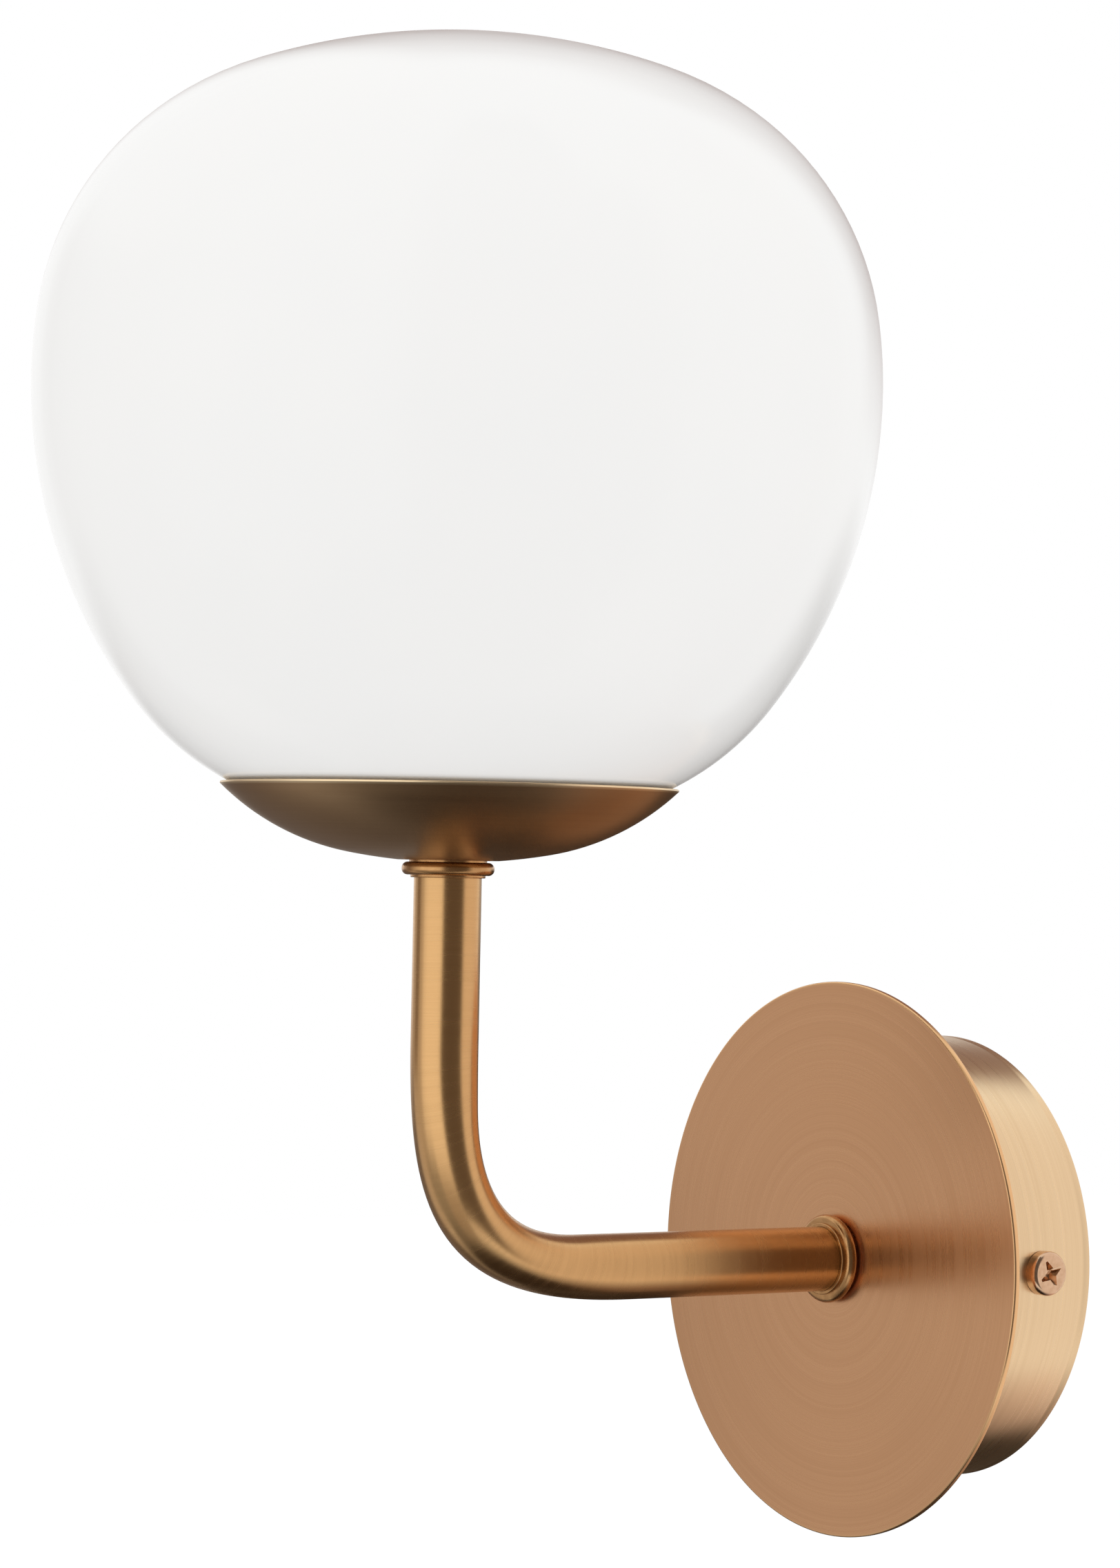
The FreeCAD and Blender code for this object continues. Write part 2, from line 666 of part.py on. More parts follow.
clamp_axis = "(bracket_thickness + clamp_height)"
poles = ("-block_pitch", "0", "block_pitch")
clamp_base = "(-block_top - (block_height + clamp_length) / 2)"
screw_levels = (f"{block_middle} - clamp_screw_spacing / 2", f"{block_middle} + clamp_screw_spacing / 2")
block_cuts = []
clamps = []
clamp_screws = []
for number, pole in enumerate(poles, start=1):
    channel = cylinder(f"channel_{number}", "clamp_radius + thread_clearance", "block_height")
    place(channel, UP, x=pole, y=f"-{clamp_axis}", z="-(block_top + block_height)")
    block_cuts.append(channel)
    tube = place(cylinder(f"clamp_tube_{number}", "clamp_radius", "clamp_length"),
                 UP, x=pole, y=f"-{clamp_axis}", z=clamp_base)
    bore = place(cylinder(f"clamp_bore_{number}", "clamp_bore", "clamp_length"),
                 UP, x=pole, y=f"-{clamp_axis}", z=clamp_base)
    clamp_cuts = [bore]
    for level, up in enumerate(screw_levels, start=1):
        well = cylinder(f"well_{number}_{level}", "screw_well_radius", "block_depth")
        block_cuts.append(out_from_wall(well, clamp_axis, x=pole, up=up))
        tapping = cylinder(
            f"clamp_tapping_{number}_{level}", "clamp_screw_radius + thread_clearance", "2 * clamp_radius")
        clamp_cuts.append(out_from_wall(tapping, clamp_axis, x=pole, up=up))
        screw = cylinder(f"clamp_screw_{number}_{level}", "clamp_screw_radius", "clamp_screw_length")
        screw_tip = f"{clamp_axis} + wire_radius + thread_clearance"
        clamp_screws.append(out_from_wall(screw, screw_tip, x=pole, up=up))
    clamps.append(cut(f"clamp_{number}", tube, *clamp_cuts))
block_cuts.append(out_from_wall(
    cylinder("block_screw_hole", "block_screw_radius + hole_clearance", "block_depth"),
    "bracket_thickness", x="-block_pitch / 2", up=block_middle))
block_cuts.append(out_from_wall(
    cylinder("block_screw_well", "block_screw_head + hole_clearance", "block_depth"),
    "bracket_thickness + block_screw_seat", x="-block_pitch / 2", up=block_middle))
block_body = wall_box(
    "block_body", "block_width", "block_height", "block_depth",
    "-block_width / 2", "-(block_top + block_height)", "bracket_thickness")
piece(cut("terminal_block", block_body, *block_cuts))
piece(group("terminal_clamps", *clamps))
piece(group("terminal_screws", *clamp_screws))
block_screw = pan_screw(
    "block_screw", "block_screw_radius", "bracket_thickness + block_screw_seat - wall_standoff",
    "block_screw_head", "block_screw_head_height", "block_screw_head_round")
piece(out_from_wall(block_screw, "wall_standoff", x="-block_pitch / 2", up=block_middle))

# Cup and glass: spun and blown shells whose outlines run through tangent arcs.

def circles_meet(first, first_radius, second, second_radius):
    """The two points where circles meet, in a plane of radius and height."""
    line = second - first
    along = (first_radius ** 2 - second_radius ** 2 + line.Length ** 2) / (2 * line.Length)
    aside = math.sqrt(first_radius ** 2 - along ** 2)
    foot = first + line * (along / line.Length)
    across = Vector(-line.z, 0, line.x) * (aside / line.Length)
    return foot + across, foot - across


def on_circle(centre, radius, towards):
    """The point of a circle that lies towards another point."""
    return centre + (towards - centre).normalize() * radius


def arc_edge(centre, radius, start, end):
    """The short arc of a circle between two of its points."""
    middle = on_circle(centre, radius, (start + end) * 0.5)
    return Part.Arc(start, middle, end).toShape()


def revolved(name, edges):
    """A shell of revolution on the globe's axis, from a closed chain of edges."""
    face = Part.Face(Part.Wire(Part.__sortEdges__(edges)))
    shell = doc.addObject("Part::Feature", name)
    shell.Shape = face.revolve(Vector(0, 0, 0), Vector(0, 0, 1), FULL_TURN)
    shell.Placement = FreeCAD.Placement(Vector(0, -value("arm_reach"), 0), UP)
    return shell


def line(start, end):
    return Part.LineSegment(start, end).toShape()


def cup_dish():
    """The spun cup: a flat seat on the collar, a floor arc, a tighter side arc and an upright rim."""
    wall = value("cup_wall")
    seat = value("arm_rise")
    floor_radius = value("cup_floor_curve")
    side_radius = value("cup_side_curve")
    floor_centre = Vector(0, 0, seat - value("cup_seat_dent") + floor_radius)
    rim_foot = Vector(value("cup_rim_radius"), 0, seat + value("cup_height") - value("cup_rim_band"))
    side_centre = min(
        circles_meet(floor_centre, floor_radius - side_radius, rim_foot, side_radius),
        key=lambda point: point.x)
    away = floor_centre + (side_centre - floor_centre) * 2
    hole = value(nipple_hole)
    rim_top = rim_foot + Vector(0, 0, value("cup_rim_band"))

    def skin(inset, level):
        """The flat seat's edge, the arcs' joint and the two arcs of one face of the shell."""
        floor = floor_radius - inset
        seat_edge = Vector(math.sqrt(floor ** 2 - (floor_centre.z - level) ** 2), 0, level)
        joint = on_circle(floor_centre, floor, away)
        return seat_edge, joint, floor, side_radius - inset

    outer_edge, outer_joint, outer_floor, outer_side = skin(0, seat)
    inner_edge, inner_joint, inner_floor, inner_side = skin(wall, seat + wall)
    lip = rim_top - Vector(wall, 0, value("cup_lip_drop"))
    inner_rim = Vector(lip.x, 0, side_centre.z - math.sqrt(inner_side ** 2 - (lip.x - side_centre.x) ** 2))
    return revolved("cup_dish", [
        line(Vector(hole, 0, seat), outer_edge),
        arc_edge(floor_centre, outer_floor, outer_edge, outer_joint),
        arc_edge(side_centre, outer_side, outer_joint, rim_foot),
        line(rim_foot, rim_top),
        line(rim_top, lip),
        line(lip, inner_rim),
        arc_edge(side_centre, inner_side, inner_rim, inner_joint),
        arc_edge(floor_centre, inner_floor, inner_joint, inner_edge),
        line(inner_edge, Vector(hole, 0, seat + wall)),
        line(Vector(hole, 0, seat + wall), Vector(hole, 0, seat)),
    ])


def foot_circle(hole_edge, rim_point, reach):
    """The circle that passes the hole's edge and the cup's rim, and swings out to a reach."""
    middle = (hole_edge + rim_point) * 0.5
    chord = rim_point - hole_edge
    rise = Vector(-chord.z, 0, chord.x).normalize()
    gap = reach - middle.x
    # The centre lies a height up the chord's bisector, where (gap - rise.x * height)^2 equals
    # height^2 + (chord / 2)^2.
    square = 1 - rise.x ** 2
    linear = gap * rise.x
    constant = (chord.Length / 2) ** 2 - gap ** 2
    height = (math.sqrt(linear ** 2 - square * constant) - linear) / square
    centre = middle + rise * height
    return centre, reach - centre.x


def glass_globe():
    """The blown globe: crown, shoulder, belly, flank and foot arcs run tangent to each other.

    The foot rises from the hole past the cup's rim, and the flank leads it into the widest level.
    """
    widest = value(f"{glass_seat} + globe_widest_height")
    top = widest + value("globe_crown_height")
    crown, shoulder, belly = [value(f"globe_{name}_curve") for name in ("crown", "shoulder", "belly")]
    radius = value("globe_radius")
    hole_edge = Vector(value("glass_hole_radius"), 0, value(glass_seat))
    rim_point = Vector(
        value("cup_rim_radius - cup_wall - globe_rim_gap"), 0, value("arm_rise + cup_height"))
    foot_margin = value("globe_foot_margin")
    foot_centre, foot = foot_circle(hole_edge, rim_point, radius - foot_margin)
    flank = foot + foot_margin / 2 + (widest - foot_centre.z) ** 2 / (2 * foot_margin)
    crown_centre = Vector(0, 0, top - crown)
    belly_centre = Vector(radius - belly, 0, widest)
    flank_centre = Vector(radius - flank, 0, widest)
    shoulder_centre = max(
        circles_meet(crown_centre, crown - shoulder, belly_centre, belly - shoulder),
        key=lambda point: point.x)

    def skin(inset):
        """The arcs of one face of the glass, and its ends on the axis and in the hole."""
        summit = Vector(0, 0, top - inset)
        crown_joint = on_circle(crown_centre, crown - inset, shoulder_centre)
        belly_joint = on_circle(belly_centre, belly - inset, shoulder_centre)
        side = Vector(radius - inset, 0, widest)
        foot_joint = on_circle(flank_centre, flank - inset, foot_centre)
        drop = math.sqrt((foot - inset) ** 2 - (hole_edge.x - foot_centre.x) ** 2)
        edge = Vector(hole_edge.x, 0, foot_centre.z - drop)
        arcs = [
            arc_edge(crown_centre, crown - inset, summit, crown_joint),
            arc_edge(shoulder_centre, shoulder - inset, crown_joint, belly_joint),
            arc_edge(belly_centre, belly - inset, belly_joint, side),
            arc_edge(flank_centre, flank - inset, side, foot_joint),
            arc_edge(foot_centre, foot - inset, foot_joint, edge),
        ]
        return arcs, summit, edge

    outer, outer_summit, outer_edge = skin(0)
    inner, inner_summit, inner_edge = skin(value("glass_wall"))
    ends = [line(outer_summit, inner_summit), line(outer_edge, inner_edge)]
    return revolved("glass_globe", outer + inner + ends)


piece(cup_dish())
piece(glass_globe())

# Boss in the cup, and the ring and seal that carry the glass on it.

boss_thread_base = "boss_hub_height + boss_shoulder_height"
boss_rim = "boss_hub_height + boss_height"
boss_inside = "boss_hub_height + boss_floor"
piece(up_at_globe(turned("globe_boss", [
    (nipple_hole, "0"),
    ("boss_hub_radius", "0"),
    ("boss_hub_radius", "boss_hub_height"),
    ("boss_shoulder_radius", "boss_hub_height"),
    ("boss_shoulder_radius", boss_thread_base),
    ("boss_radius", boss_thread_base),
    ("boss_radius", boss_rim),
    ("boss_radius - boss_wall", boss_rim),
    ("boss_radius - boss_wall", boss_inside),
    (nipple_hole, boss_inside),
]), cup_inside))

gallery_bore = "boss_radius + thread_clearance"
gallery_outside = "glass_hole_radius - seal_thickness"
piece(up_at_globe(turned("globe_gallery", [
    (gallery_bore, "0"),
    ("gallery_flange_radius", "0"),
    ("gallery_flange_radius", "gallery_flange_height"),
    (gallery_outside, "gallery_flange_height"),
    (gallery_outside, "gallery_height"),
    (gallery_bore, "gallery_height"),
]), gallery_bottom))

seal_outside = "glass_hole_radius - thread_clearance"
piece(up_at_globe(turned("globe_seal", [
    (gallery_outside, "0"),
    ("seal_radius", "0"),
    ("seal_radius", "seal_pad"),
    (seal_outside, "seal_pad"),
    (seal_outside, "seal_pad + seal_sleeve"),
    (gallery_outside, "seal_pad + seal_sleeve"),
]), f"{gallery_bottom} + gallery_flange_height"))

# Lampholder: a base on the nipple, two terminals, and a sleeve with the threaded shell and contact.

piece(up_at_globe(turned("holder_base", [
    (threaded_on_nipple, "0"),
    ("holder_radius", "0"),
    ("holder_radius", "holder_base_height"),
    ("holder_cavity_radius", "holder_base_height"),
    ("holder_cavity_radius", "holder_base_floor"),
    ("nipple_bore", "holder_base_floor"),
    ("nipple_bore", "holder_thread_depth"),
    (threaded_on_nipple, "holder_thread_depth"),
]), holder_bottom))

sleeve_base = f"({holder_bottom} + holder_base_height)"
terminal_base = f"({sleeve_base} - holder_terminal_height)"
contact_base = f"({sleeve_base} + holder_sleeve_floor)"


def globe_box(name, length, width, height, x, base):
    """A box on the globe's axis, centred fore and aft."""
    block = box(name, length, width, height)
    return place(block, UP, x=x, y=f"-arm_reach - ({width}) / 2", z=base)


def globe_rod(name, radius, height, x, base):
    return place(cylinder(name, radius, height), UP, x=x, y="-arm_reach", z=base)


terminals = []
for side, sign in (("live", "-"), ("neutral", "")):
    centre = f"{sign}holder_terminal_offset"
    blank = globe_box(
        f"{side}_terminal_blank", "holder_terminal_length", "holder_terminal_width",
        "holder_terminal_height", f"{centre} - holder_terminal_length / 2", terminal_base)
    entry = globe_rod(
        f"{side}_terminal_bore", "wire_radius + thread_clearance", "wire_end_in_holder + moving_gap",
        centre, terminal_base)
    terminals.append(cut(f"{side}_terminal", blank, entry))
piece(group("holder_terminals", *terminals))

shell_rivet = "(shell_bore + shell_wall / 2)"
rivet_places = {"contact": "-contact_rivet_offset", "shell": shell_rivet}
rivets = [
    globe_rod(f"{name}_rivet", "rivet_radius", "holder_sleeve_floor", x, sleeve_base)
    for name, x in rivet_places.items()
]
piece(group("holder_rivets", *rivets))
rivet_holes = [
    globe_rod(f"{name}_rivet_hole", "rivet_radius + thread_clearance", "holder_sleeve_floor", x, sleeve_base)
    for name, x in rivet_places.items()
]
sleeve_bore = "shell_bore + shell_wall + thread_clearance"
sleeve_blank = up_at_globe(turned("sleeve_blank", [
    ("0", "0"),
    ("holder_radius", "0"),
    ("holder_radius", "holder_sleeve_height"),
    (sleeve_bore, "holder_sleeve_height"),
    (sleeve_bore, "holder_sleeve_floor"),
    ("0", "holder_sleeve_floor"),
]), sleeve_base)
piece(cut("holder_sleeve", sleeve_blank, *rivet_holes))
piece(up_at_globe(
    ring("holder_shell", "shell_bore", "shell_bore + shell_wall", "shell_height"), contact_base))

contact_strips = (
    ("foot", "contact_foot + contact_nose", "contact_thickness", "-contact_foot", contact_base),
    ("riser", "contact_thickness", "contact_rise", "contact_nose - contact_thickness", contact_base),
    ("nose", "2 * contact_nose", "contact_thickness", "-contact_nose",
     f"{contact_base} + contact_rise - contact_thickness"),
)
piece(fuse("holder_contact", *[
    globe_box(f"contact_{name}", length, "contact_width", height, x, base)
    for name, length, height, x, base in contact_strips
]))

# Lamp: a golf-ball lamp with a small Edison screw cap.

lamp_bottom = f"({contact_base} + contact_rise + moving_gap)"
insulator_base = f"({lamp_bottom} + lamp_tip_height)"
cap_base = f"({insulator_base} + lamp_insulator_height)"
housing_base = f"({cap_base} + lamp_cap_height)"
lamp_centre = f"({lamp_bottom} + lamp_length - lamp_radius)"
lamp_mouth = f"({lamp_centre} - sqrt(lamp_radius^2 - lamp_mouth_radius^2))"
cap_radius = "shell_bore - thread_clearance"
cap_bore = f"{cap_radius} - lamp_cap_wall"

piece(up_at_globe(turned("lamp_tip", [
    ("0", "0"),
    ("lamp_tip_radius - lamp_tip_height / 2", "0"),
    ("lamp_tip_radius", "lamp_tip_height / 2"),
    ("lamp_tip_radius", "lamp_tip_height"),
    ("0", "lamp_tip_height"),
], arcs={1: "lamp_tip_height / 2"}), lamp_bottom))
piece(up_at_globe(turned("lamp_insulator", [
    ("0", "0"),
    ("lamp_tip_radius", "0"),
    (cap_bore, "lamp_insulator_height"),
    ("0", "lamp_insulator_height"),
]), insulator_base))
piece(up_at_globe(ring("lamp_cap", cap_bore, cap_radius, "lamp_cap_height"), cap_base))
housing_height = f"{lamp_mouth} - {housing_base}"
piece(up_at_globe(turned("lamp_housing", [
    ("0", "0"),
    ("lamp_neck_radius", "0"),
    ("lamp_neck_radius", "lamp_neck_height"),
    ("lamp_mouth_radius", housing_height),
    ("lamp_mouth_radius - lamp_housing_wall", housing_height),
    ("lamp_neck_radius - lamp_housing_wall", "lamp_neck_height + lamp_housing_floor"),
    ("lamp_neck_radius - lamp_housing_wall", "lamp_housing_floor"),
    ("0", "lamp_housing_floor"),
]), housing_base))
piece(globe_rod(
    "led_board", "lamp_mouth_radius - led_board_inset", "led_board_height", "0",
    f"{lamp_mouth} - led_board_height"))
bulb_outside = doc.addObject("Part::Sphere", "bulb_outside")
bulb_inside = doc.addObject("Part::Sphere", "bulb_inside")
bind(bulb_outside, Radius="lamp_radius")
bind(bulb_inside, Radius="lamp_radius - lamp_glass_wall")
bulb_mouth = globe_rod(
    "bulb_mouth", "2 * lamp_radius", "2 * lamp_radius", "0", f"{lamp_mouth} - 2 * lamp_radius")
for ball in (bulb_outside, bulb_inside):
    up_at_globe(ball, lamp_centre)
piece(cut("lamp_bulb", bulb_outside, bulb_inside, bulb_mouth))

# Wires: straight runs joined by tangent arcs, held in the tube and at both ends.

def wire(name, corners, radii):
    """An insulated wire through its corners, each rounded by its own radius."""
    runs = []
    start = corners[0]
    for before, corner, after, radius in zip(corners, corners[1:], corners[2:], radii):
        back = (before - corner).normalize()
        ahead = (after - corner).normalize()
        half = back.getAngle(ahead) / 2
        trim = radius / math.tan(half)
        bisector = (back + ahead).normalize()
        middle = corner + bisector * (radius / math.sin(half) - radius)
        arc_start = corner + back * trim
        arc_end = corner + ahead * trim
        runs.append(line(start, arc_start))
        runs.append(Part.Arc(arc_start, middle, arc_end).toShape())
        start = arc_end
    runs.append(line(start, corners[-1]))
    path = Part.Wire(runs)
    section = Part.Circle(corners[0], corners[1] - corners[0], value("wire_radius"))
    solid = path.makePipeShell([Part.Wire(section.toShape())], True, False)
    expected = math.pi * value("wire_radius") ** 2 * path.Length
    print(f"{name}: {path.Length:.1f} mm long, volume is {solid.Volume / expected:.4f} of its section's")
    insulated = doc.addObject("Part::Feature", name)
    insulated.Shape = solid
    return insulated


def point(x, y, z):
    return Vector(value(x), value(y), value(z))


clamp_end = "-(block_top + wire_end_in_clamp)"
supply_bends = [value(text) for text in (
    "wire_bend / 2", "wire_bend / 2", "bend_radius", "wire_bend", "wire_bend")]
for name, sign, pole in (("live_wire", "-", poles[0]), ("neutral_wire", "", poles[1])):
    in_tube = f"{sign}wire_offset"
    in_holder = f"{sign}holder_terminal_offset"
    piece(wire(name, [
        point(in_holder, "-arm_reach", f"{terminal_base} + wire_end_in_holder"),
        point(in_holder, "-arm_reach", f"{holder_bottom} + holder_base_floor + wire_spread_run"),
        point(in_tube, "-arm_reach", f"{holder_bottom} + holder_base_floor"),
        point(in_tube, "-arm_reach", "0"),
        point(in_tube, "-wire_turn_height", "0"),
        point(pole, f"-{clamp_axis}", "-wire_drop_start"),
        point(pole, f"-{clamp_axis}", clamp_end),
    ], supply_bends))

piece(wire("earth_wire", [
    point(poles[2], f"-{clamp_axis}", clamp_end),
    point(poles[2], f"-{clamp_axis}", "-earth_wire_turn"),
    point("earth_offset", f"-{barrel_axis}", "-(earth_wire_turn - earth_wire_lift)"),
    point("earth_offset", f"-{barrel_axis}", f"-({barrel_bottom} - earth_barrel_length) - moving_gap"),
], [value("earth_wire_bend")] * 2))

# Check every object and write each piece to a file of its own.

doc.recompute()
for thing in doc.Objects:
    if {"Invalid", "Error"} & set(thing.State):
        raise RuntimeError(f"{thing.Label} failed: {thing.State}")
os.makedirs("parts", exist_ok=True)
for thing in pieces:
    shape = thing.Shape
    if shape.isNull() or not shape.isValid() or not shape.Solids:
        raise RuntimeError(f"{thing.Label} has no valid solid")
    shape.exportStep(f"parts/{thing.Label}.step")
    print(f"{thing.Label}: {len(shape.Solids)} solid, {shape.Volume:.1f} mm3")
print(len(pieces), "pieces written")
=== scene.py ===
"""Globe wall sconce: an opal glass globe in a metal cup, on a bent arm from a round canopy.

Sizes are in metres. The wall is the plane Y = 0 and the sconce stands out along -Y, with +Z up.
"""
import bmesh
import bpy
from math import acos, asin, cos, degrees, pi, radians, sin, tan
from mathutils import Matrix, Vector
from mathutils.geometry import interpolate_bezier


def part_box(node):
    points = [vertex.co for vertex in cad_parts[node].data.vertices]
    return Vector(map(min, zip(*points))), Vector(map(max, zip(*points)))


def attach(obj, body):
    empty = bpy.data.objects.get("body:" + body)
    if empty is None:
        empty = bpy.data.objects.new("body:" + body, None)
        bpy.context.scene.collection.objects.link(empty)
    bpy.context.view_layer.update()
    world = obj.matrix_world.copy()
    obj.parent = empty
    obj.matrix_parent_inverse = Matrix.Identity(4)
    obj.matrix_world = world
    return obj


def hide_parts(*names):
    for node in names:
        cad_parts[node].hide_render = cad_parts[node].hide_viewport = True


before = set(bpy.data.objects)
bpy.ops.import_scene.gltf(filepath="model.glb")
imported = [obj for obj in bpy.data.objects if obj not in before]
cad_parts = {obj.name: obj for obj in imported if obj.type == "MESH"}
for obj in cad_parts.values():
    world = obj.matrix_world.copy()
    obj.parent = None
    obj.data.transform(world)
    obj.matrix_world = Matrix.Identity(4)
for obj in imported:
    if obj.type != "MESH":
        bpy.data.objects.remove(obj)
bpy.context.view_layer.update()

# The picture: a camera at the height of the arm, in front of the wall and to the right. Its place,
# its directions and its focal length, in pixels, give the photograph's frame.

PICTURE_HEIGHT = 2273
FOCAL_PIXELS = 6926.98
SENSOR_HEIGHT = 36.0
CAMERA_PLACE = Vector((0.69661, -0.59060, 0.06901))
CAMERA_RIGHT = Vector((0.58242, 0.81265, 0.01985))
CAMERA_UP = Vector((0.00535, -0.02824, 0.99959))

camera_data = bpy.data.cameras.new("picture_camera")
camera_data.sensor_fit = "VERTICAL"
camera_data.sensor_height = SENSOR_HEIGHT
camera_data.lens = SENSOR_HEIGHT * FOCAL_PIXELS / PICTURE_HEIGHT
camera = bpy.data.objects.new("picture_camera", camera_data)
camera_back = CAMERA_RIGHT.cross(CAMERA_UP).normalized()
camera_up = camera_back.cross(CAMERA_RIGHT).normalized()
directions = Matrix((CAMERA_RIGHT.normalized(), camera_up, camera_back)).transposed()
camera.matrix_world = Matrix.Translation(CAMERA_PLACE) @ directions.to_4x4()
bpy.context.scene.collection.objects.link(camera)
bpy.context.scene.camera = camera
bpy.context.scene.view_settings.view_transform = "Standard"

# The room: white all round, with a pale floor below that keeps the sconce's shadow, and two broad
# soft lamps. Soft cards that only reflections see, dark, dim, warm or bright, give the metal its
# tones. Most stand round the whole sconce, and two stand close to the arm.

ROOM_LIGHT = 1.0
FLOOR_HEIGHT = -0.75
FLOOR_REACH = 9.0
FLOOR_PALE, FLOOR_ROUGHNESS = (0.9, 0.9, 0.9), 0.9
FLOOR_GLOW, FLOOR_GLOW_SHARE = 1.12, 0.6
LAMP_DISTANCE, LAMP_WIDTH = 1.6, 1.2
CARD_CENTRE = Vector((0, -0.06, 0.06))
CARD_DISTANCE, FAR_CARD, FARTHER_CARD = 0.70, 0.72, 0.74
CARD_STEP = 6
ARM_END, NEAR_CARD = Vector((0, -0.02, 0)), 0.2
ARM_UPRIGHT, NEARER_CARD = Vector((0, -0.1157, 0.055)), 0.1
BELOW_SHARES, BELOW_STEP = (0.0, 0.25, 0.45, 1.0), 8
BELOW_EDGE, BELOW_SWING, BELOW_BEARING = -41, 11, 140


def add(tree, kind, inputs={}, **settings):
    """Add a node to a tree: inputs hold numbers, colours or the sockets to link."""
    made = tree.nodes.new("ShaderNode" + kind)
    for name, setting in settings.items():
        setattr(made, name, setting)
    for name, given in inputs.items():
        if isinstance(given, bpy.types.NodeSocket):
            tree.links.new(given, made.inputs[name])
        else:
            made.inputs[name].default_value = given
    return made


def reckon(tree, operation, first, second=0.0):
    """The outcome of a sum with two numbers or sockets."""
    return add(tree, "Math", {0: first, 1: second}, operation=operation).outputs[0]


def shader_inputs(material):
    """The sockets of a material's own shader."""
    return material.node_tree.nodes["Principled BSDF"].inputs


def new_material(name, colour, roughness, metallic=0.0):
    """A material with one even colour."""
    material = bpy.data.materials.new(name)
    material.use_nodes = True
    inputs = shader_inputs(material)
    inputs["Base Color"].default_value = (*colour, 1)
    inputs["Roughness"].default_value = roughness
    inputs["Metallic"].default_value = metallic
    return material


def layered(tree, share, under, over):
    """Show a share of one shader over another."""
    mixed = add(tree, "MixShader", {0: share, 1: under.outputs[0], 2: over.outputs[0]})
    tree.links.new(mixed.outputs[0], tree.nodes["Material Output"].inputs["Surface"])


def new_object(name, mesh):
    """Put a mesh in the scene."""
    thing = bpy.data.objects.new(name, mesh)
    bpy.context.scene.collection.objects.link(thing)
    return thing


def seen_directly(tree):
    """1 for what the camera, a reflection or a glass sees, and 0 for light that falls on things."""
    rays = add(tree, "LightPath").outputs
    either = reckon(tree, "MAXIMUM", rays["Is Camera Ray"], rays["Is Glossy Ray"])
    return reckon(tree, "MAXIMUM", either, rays["Is Transmission Ray"])


def rectangle(across, aside):
    """The corners of a rectangle, from half its two sides."""
    return [(-across, -aside), (across, -aside), (across, aside), (-across, aside)]


world = bpy.data.worlds.new("white_room")
bpy.context.scene.world = world
world.use_nodes = True
room_strength = add(world.node_tree, "MapRange", {
    "Value": seen_directly(world.node_tree), "To Min": ROOM_LIGHT, "To Max": 1.0})
room = world.node_tree.nodes["Background"]
room.inputs["Color"].default_value = (1, 1, 1, 1)
world.node_tree.links.new(room_strength.outputs["Result"], room.inputs["Strength"])

floor_mesh = bpy.data.meshes.new("pale_floor")
floor_corners = [(x, y, FLOOR_HEIGHT) for x, y in rectangle(FLOOR_REACH, FLOOR_REACH)]
floor_mesh.from_pydata(floor_corners, [], [(0, 1, 2, 3)])
floor_paint = new_material("floor_paint", FLOOR_PALE, FLOOR_ROUGHNESS)
shader_inputs(floor_paint)["Specular IOR Level"].default_value = 0
tree = floor_paint.node_tree
layered(tree, reckon(tree, "MULTIPLY", seen_directly(tree), FLOOR_GLOW_SHARE), tree.nodes["Principled BSDF"],
        add(tree, "Emission", {"Strength": FLOOR_GLOW}))
floor_mesh.materials.append(floor_paint)
new_object("pale_floor", floor_mesh)


def direction(bearing, elevation):
    """A direction from its bearing round from +X and its elevation, both in degrees."""
    level = cos(radians(elevation))
    return Vector((level * cos(radians(bearing)), level * sin(radians(bearing)), sin(radians(elevation))))


def soft_lamp(name, bearing, elevation, strength):
    """A square soft lamp that no reflection shows, aimed at the sconce."""
    lamp = bpy.data.lights.new(name, "AREA")
    lamp.size = LAMP_WIDTH
    lamp.energy = strength
    holder = new_object(name, lamp)
    away = direction(bearing, elevation)
    holder.location = CARD_CENTRE + away * LAMP_DISTANCE
    holder.rotation_euler = away.to_track_quat("Z", "Y").to_euler()
    holder.visible_glossy = False


soft_lamp("lamp_left", -110, 35, 0.4)
soft_lamp("lamp_right", 30, 25, 0.5)


def soft_card(name, rows, shade, distance=CARD_DISTANCE, centre=CARD_CENTRE, closed=False):
    """A card through rows of directions from a centre, soft at its border, that only reflections see."""
    mesh = bpy.data.meshes.new(name)
    columns = len(rows[0])
    faces = []
    for row in range(len(rows) - 1):
        for column in range(columns - 1):
            corner = row * columns + column
            faces.append((corner, corner + 1, corner + columns + 1, corner + columns))
    mesh.from_pydata([centre + distance * direction(*place) for row in rows for place in row], [], faces)
    cover = mesh.attributes.new("cover", "FLOAT", "POINT")
    for index, point in enumerate(cover.data):
        row, column = divmod(index, columns)
        inside = row < len(rows) - 1 and (closed or (row > 0 and 0 < column < columns - 1))
        point.value = 1.0 if inside else 0.0
    material = bpy.data.materials.new(name)
    material.use_nodes = True
    tree = material.node_tree
    tree.nodes.remove(tree.nodes["Principled BSDF"])
    covered = add(tree, "Attribute", attribute_name="cover").outputs["Fac"]
    layered(tree, covered, add(tree, "BsdfTransparent"), add(tree, "Emission", {"Color": (*shade, 1)}))
    mesh.materials.append(material)
    card = new_object(name, mesh)
    for rays in ("camera", "diffuse", "transmission", "volume_scatter", "shadow"):
        setattr(card, "visible_" + rays, False)


